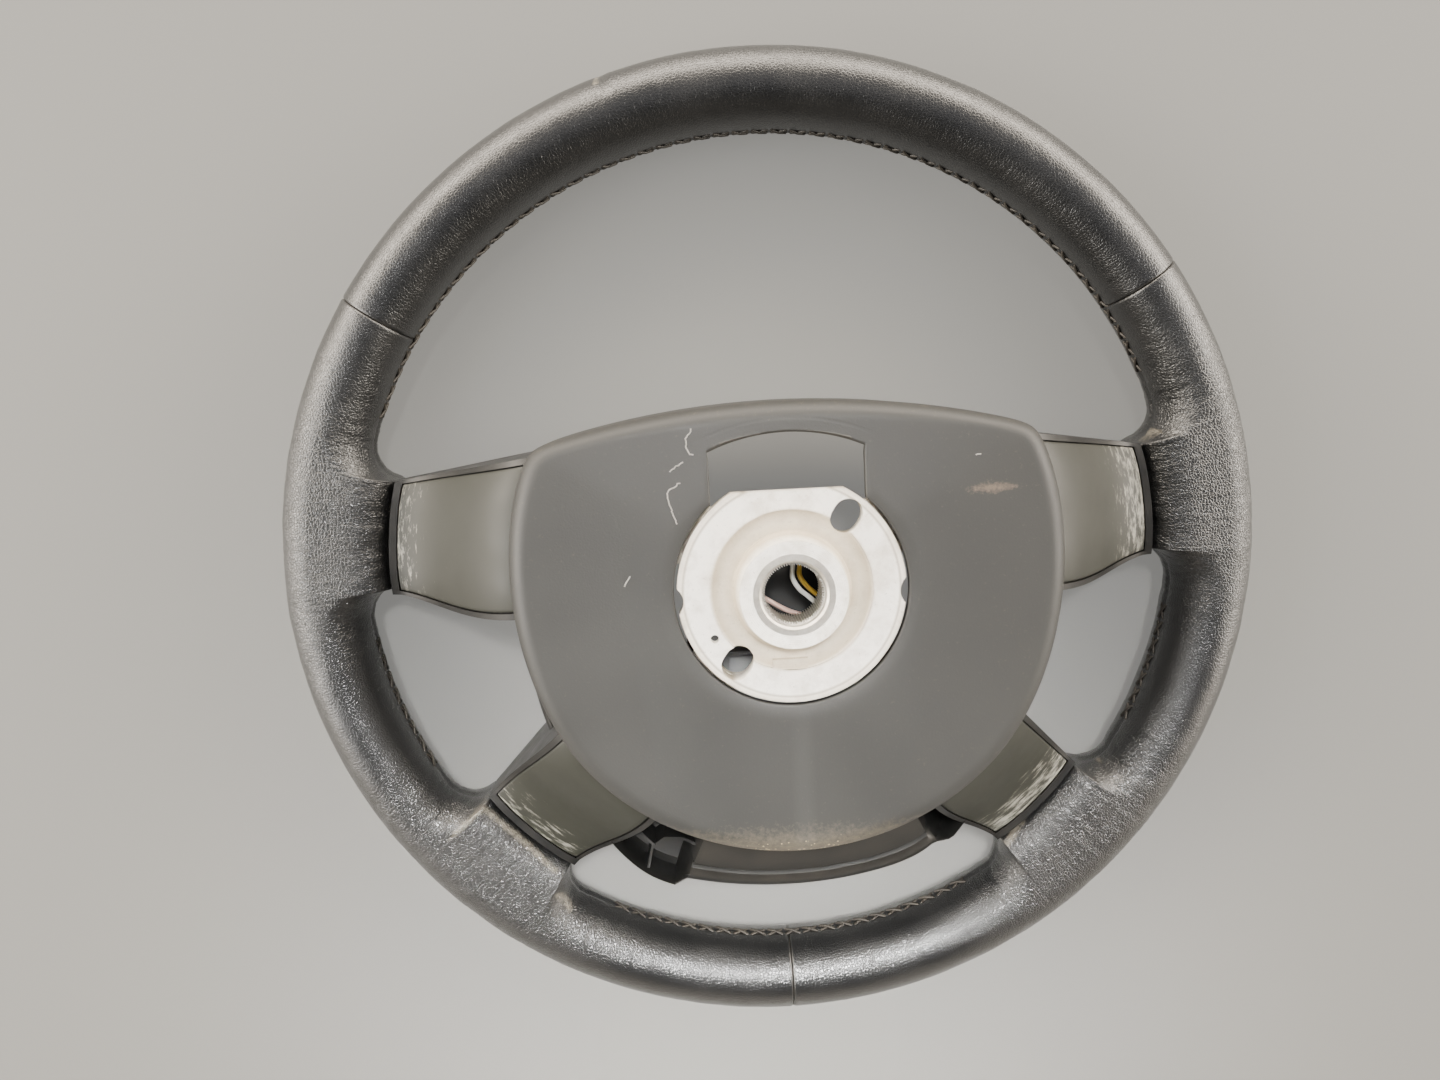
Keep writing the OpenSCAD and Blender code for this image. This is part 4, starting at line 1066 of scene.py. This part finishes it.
# Splined sleeve. Turned and broached steel, cast into the boss: fine rings on its face, and a thin
# film of oil and dust between its teeth.
steel, tree, shader, spot = finish("turned_steel_oiled")
shader.inputs["Metallic"].default_value = 0.85
level = add(tree, "VectorMath", {0: spot, 1: (1, 1, 0)}, operation="MULTIPLY")
from_axis = add(tree, "VectorMath", {0: level}, operation="LENGTH")
film = add(tree, "TexNoise", {"Vector": spot, "Scale": 1 / (3 * MM), "Detail": 4})
in_teeth = add(
    tree, "MapRange", {"Value": from_axis, "From Min": 9.9 * MM, "From Max": 9.2 * MM, "To Min": 0.75, "To Max": 0.1}
)
soil = add(tree, "Math", {0: in_teeth, 1: film}, operation="MULTIPLY")
tone = add(tree, "Mix", {"Factor": soil, "A": hue("#ece8df"), "B": hue("#8d826f")}, data_type="RGBA")
tree.links.new(tone, shader.inputs["Base Color"])
rough = add(tree, "MapRange", {"Value": film, "From Min": 0.3, "From Max": 0.7, "To Min": 0.28, "To Max": 0.42})
tree.links.new(rough, shader.inputs["Roughness"])
swing = add(tree, "Math", {0: from_axis, 1: 2 * pi / (0.5 * MM)}, operation="MULTIPLY")
turned = add(tree, "Math", {0: swing}, operation="SINE")
bump = add(tree, "Bump", {"Height": turned, "Strength": 0.25, "Distance": 0.04 * MM})
tree.links.new(bump, shader.inputs["Normal"])
dress("spline_sleeve", steel)

# Wiring shield, plug and wires on the front of the hub, seen through the bore and the oval hole. The
# shield and plug are injection moulded; the wires are soft drawn copper in thin PVC.
shield, tree, shader, spot = finish("moulded_pa_black")
grain = add(tree, "TexNoise", {"Vector": spot, "Scale": 1 / (0.9 * MM), "Detail": 3})
bloom = add(tree, "TexNoise", {"Vector": spot, "Scale": 1 / (12 * MM), "Detail": 5})
tone = add(tree, "Mix", {"Factor": bloom, "A": hue("#131415"), "B": hue("#2b2b2a")}, data_type="RGBA")
tree.links.new(tone, shader.inputs["Base Color"])
rough = add(tree, "MapRange", {"Value": bloom, "From Min": 0.3, "From Max": 0.7, "To Min": 0.38, "To Max": 0.55})
tree.links.new(rough, shader.inputs["Roughness"])
bump = add(tree, "Bump", {"Height": grain, "Strength": 0.3, "Distance": 0.1 * MM})
tree.links.new(bump, shader.inputs["Normal"])
dress("wiring_shield", shield, edge=0.4)

housing, tree, shader, spot = finish("moulded_pbt_grey")
grain = add(tree, "TexNoise", {"Vector": spot, "Scale": 1 / (0.7 * MM), "Detail": 3})
bloom = add(tree, "TexNoise", {"Vector": spot, "Scale": 1 / (6 * MM), "Detail": 4})
tone = add(tree, "Mix", {"Factor": bloom, "A": hue("#6f7174"), "B": hue("#8b8c8c")}, data_type="RGBA")
tree.links.new(tone, shader.inputs["Base Color"])
rough = add(tree, "MapRange", {"Value": bloom, "From Min": 0.3, "From Max": 0.7, "To Min": 0.4, "To Max": 0.55})
tree.links.new(rough, shader.inputs["Roughness"])
bump = add(tree, "Bump", {"Height": grain, "Strength": 0.25, "Distance": 0.08 * MM})
tree.links.new(bump, shader.inputs["Normal"])
dress("harness_plug", housing, edge=0.4)

WIRE_R = 0.85
SHIELD_TOP = 63
PLATE_LOW = 91.5
ROUTE_CUTS = 8
WIRES = {
    "white": (
        ("#d4d2ca", "#f0eee8"),
        ((0.48, -0.54, 0.14), (0.42, -0.4, 0.39), (0.2, -0.17, 0.54), (0.115, -0.09, 0.58), (0.055, 0.02, 0.6),
            (0.065, 0.12, 0.51), (0.1, 0.2, 0.14)),
    ),
    "yellow": (
        ("#b08c2c", "#dbb74f"),
        ((0.58, -0.48, 0.14), (0.5, -0.35, 0.39), (0.25, -0.13, 0.54), (0.17, -0.045, 0.58), (0.12, 0.04, 0.6),
            (0.13, 0.125, 0.51), (0.17, 0.2, 0.14)),
    ),
    "pink": (
        ("#c99b8c", "#e6c8ba"),
        ((-0.54, 0.05, 0.14), (-0.43, -0.03, 0.39), (-0.19, -0.17, 0.56), (0, -0.29, 0.53), (0.19, -0.38, 0.35),
            (0.27, -0.42, 0.14)),
    ),
}


def route(shares):
    """A wire's smooth path through its points, with its ends standing on the shield."""
    dots = [Vector((HUB_R * x, HUB_R * y, mix(SHIELD_TOP, PLATE_LOW, k))) for x, y, k in shares]
    path = []
    for i in range(len(dots) - 1):
        a, b, c, d = dots[max(i - 1, 0)], dots[i], dots[i + 1], dots[min(i + 2, len(dots) - 1)]
        for k in range(ROUTE_CUTS):
            u = k / ROUTE_CUTS
            path.append(
                (2 * b + u * (c - a) + u**2 * (2 * a - 5 * b + 4 * c - d) + u**3 * (3 * b - a - 3 * c + d)) / 2
            )
    path.append(dots[-1])
    for end, at in ((dots[0], 0), (dots[-1], len(path) + 1)):
        path.insert(at, Vector((end.x, end.y, SHIELD_TOP + 2 * WIRE_R)))
        path.insert(0 if at == 0 else len(path), Vector((end.x, end.y, SHIELD_TOP)))
    return [point * MM for point in path]


for name, (codes, shares) in WIRES.items():
    lead = join([thread(route(shares), WIRE_R * MM, f"wire_{name}_lead", sides=4)], f"wire_{name}_lead")
    bpy.ops.object.shade_smooth()
    sleeve, tree, shader, spot = finish(f"pvc_insulation_{name}")
    shader.inputs["Roughness"].default_value = 0.35
    grime = add(tree, "TexNoise", {"Vector": spot, "Scale": 1 / (4 * MM), "Detail": 4})
    tone = add(tree, "Mix", {"Factor": grime, "A": hue(codes[0]), "B": hue(codes[1])}, data_type="RGBA")
    tree.links.new(tone, shader.inputs["Base Color"])
    drawn = add(tree, "TexNoise", {"Vector": spot, "Scale": 1 / (1.5 * MM), "Detail": 2})
    bump = add(tree, "Bump", {"Height": drawn, "Strength": 0.2, "Distance": 0.05 * MM})
    tree.links.new(bump, shader.inputs["Normal"])
    give(lead, sleeve)
    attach(lead, "wheel")
    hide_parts(f"wire_{name}")

# Horn contacts and screws, on the front of the cast frame: brass pins in acetal bushes, with steel
# springs and rings, and zinc-plated screws whose plating has gone cloudy.
zinc, tree, shader, spot = finish("zinc_plated_steel")
shader.inputs["Metallic"].default_value = 1
cloud = add(tree, "TexNoise", {"Vector": spot, "Scale": 1 / (2.5 * MM), "Detail": 5, "Roughness": 0.65})
tone = add(tree, "Mix", {"Factor": cloud, "A": hue("#8f9296"), "B": hue("#c6c9cc")}, data_type="RGBA")
tree.links.new(tone, shader.inputs["Base Color"])
rough = add(tree, "MapRange", {"Value": cloud, "From Min": 0.3, "From Max": 0.7, "To Min": 0.28, "To Max": 0.46})
tree.links.new(rough, shader.inputs["Roughness"])
brass, tree, shader, spot = finish("drawn_brass")
shader.inputs["Metallic"].default_value = 1
cloud = add(tree, "TexNoise", {"Vector": spot, "Scale": 1 / (2 * MM), "Detail": 5})
tone = add(tree, "Mix", {"Factor": cloud, "A": hue("#a98440"), "B": hue("#d6b36c")}, data_type="RGBA")
tree.links.new(tone, shader.inputs["Base Color"])
rough = add(tree, "MapRange", {"Value": cloud, "From Min": 0.3, "From Max": 0.7, "To Min": 0.24, "To Max": 0.4})
tree.links.new(rough, shader.inputs["Roughness"])
bush, tree, shader, spot = finish("moulded_pom_natural")
shader.inputs["Roughness"].default_value = 0.4
cloud = add(tree, "TexNoise", {"Vector": spot, "Scale": 1 / (4 * MM), "Detail": 4})
tone = add(tree, "Mix", {"Factor": cloud, "A": hue("#cbc6b4"), "B": hue("#e0dccd")}, data_type="RGBA")
tree.links.new(tone, shader.inputs["Base Color"])
grain = add(tree, "TexNoise", {"Vector": spot, "Scale": 1 / (0.6 * MM), "Detail": 2})
bump = add(tree, "Bump", {"Height": grain, "Strength": 0.15, "Distance": 0.05 * MM})
tree.links.new(bump, shader.inputs["Normal"])
dress("cover_screws", zinc)
dress("bezel_screws", zinc)
for side in ("left", "right", "lower"):
    dress(f"horn_bush_{side}", bush, edge=0.2)
    dress(f"horn_pin_{side}", brass, edge=0.2)
    dress(f"horn_ring_{side}", zinc)
    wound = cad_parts[f"horn_spring_{side}"]
    coil = wound.copy()
    coil.data = wound.data.copy()
    coil.name = f"horn_spring_{side}_coil"
    bpy.context.collection.objects.link(coil)
    give(coil, zinc)
    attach(coil, "wheel")
    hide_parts(f"horn_spring_{side}")
    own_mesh(coil)

# Rim core and foam, both inside the leather: a drawn steel ring in charcoal integral-skin foam.
foam, tree, shader, spot = finish("moulded_pu_foam")
shader.inputs["Roughness"].default_value = 0.8
cell = add(tree, "TexVoronoi", {"Vector": spot, "Scale": 1 / (0.8 * MM)})
tone = add(tree, "Mix", {"Factor": cell, "A": hue("#232324"), "B": hue("#38383a")}, data_type="RGBA")
tree.links.new(tone, shader.inputs["Base Color"])
bump = add(tree, "Bump", {"Height": cell, "Strength": 0.4, "Distance": 0.15 * MM})
tree.links.new(bump, shader.inputs["Normal"])
dress("rim_foam", foam)
dress("rim_core", zinc)

# Studio. A plain pale floor, a warm room that is brightest low round the horizon, and three soft
# lamps: a large one low left of the camera, one to its right, and one beside it.
bpy.ops.object.select_all(action="DESELECT")
bpy.ops.mesh.primitive_plane_add(size=6, location=(0, 0, -0.2 * MM))
floor = bpy.context.object
floor.name = "floor"
paper, tree, shader, spot = finish("pale_floor")
shader.inputs["Base Color"].default_value = hue("#787773")
shader.inputs["Roughness"].default_value = 0.85
shader.inputs["Emission Color"].default_value = hue("#c9c8c4")
shader.inputs["Emission Strength"].default_value = 0.35
give(floor, paper)

room = bpy.data.worlds.new("room")
bpy.context.scene.world = room
room.use_nodes = True
tree = room.node_tree
facing = tree.nodes.new("ShaderNodeTexCoord").outputs["Generated"]
facing_parts = add(tree, "SeparateXYZ", {"Vector": facing}).node.outputs
glow = add(
    tree,
    "ValToRGB",
    {"Fac": facing_parts["Z"]},
    stops=(
        (0.0, "#5b564f"),
        (0.05, "#cfc6b8"),
        (0.12, "#fff4e6"),
        (0.34, "#fff2e0"),
        (0.5, "#7a766f"),
        (0.64, "#3b3a39"),
        (1.0, "#343436"),
    ),
)
background = tree.nodes["Background"]
tree.links.new(glow, background.inputs["Color"])
strength = add(
    tree,
    "MapRange",
    {"Value": facing_parts["Y"], "From Min": -0.55, "From Max": 0.05, "To Min": 1.2, "To Max": 14},
)
tree.links.new(strength, background.inputs["Strength"])
for place, aim, size, power, spread in (
    ((-1.1, -0.1, 0.66), (0, 0, 0.03), 0.8, 13, 180),
    ((1.05, 0.1, 0.55), (0, 0, 0.03), 0.6, 4.5, 180),
    ((-0.02, 0.33, 1.12), (-0.02, -0.2, 0.02), 0.25, 0.9, 22),
):
    bpy.ops.object.light_add(type="AREA", location=place)
    lamp = bpy.context.object
    lamp.data.size = size
    lamp.data.energy = power
    lamp.data.spread = radians(spread)
    lamp.data.color = (1.0, 0.99, 0.97)
    lamp.rotation_euler = (Vector(aim) - Vector(place)).to_track_quat("-Z", "Y").to_euler()
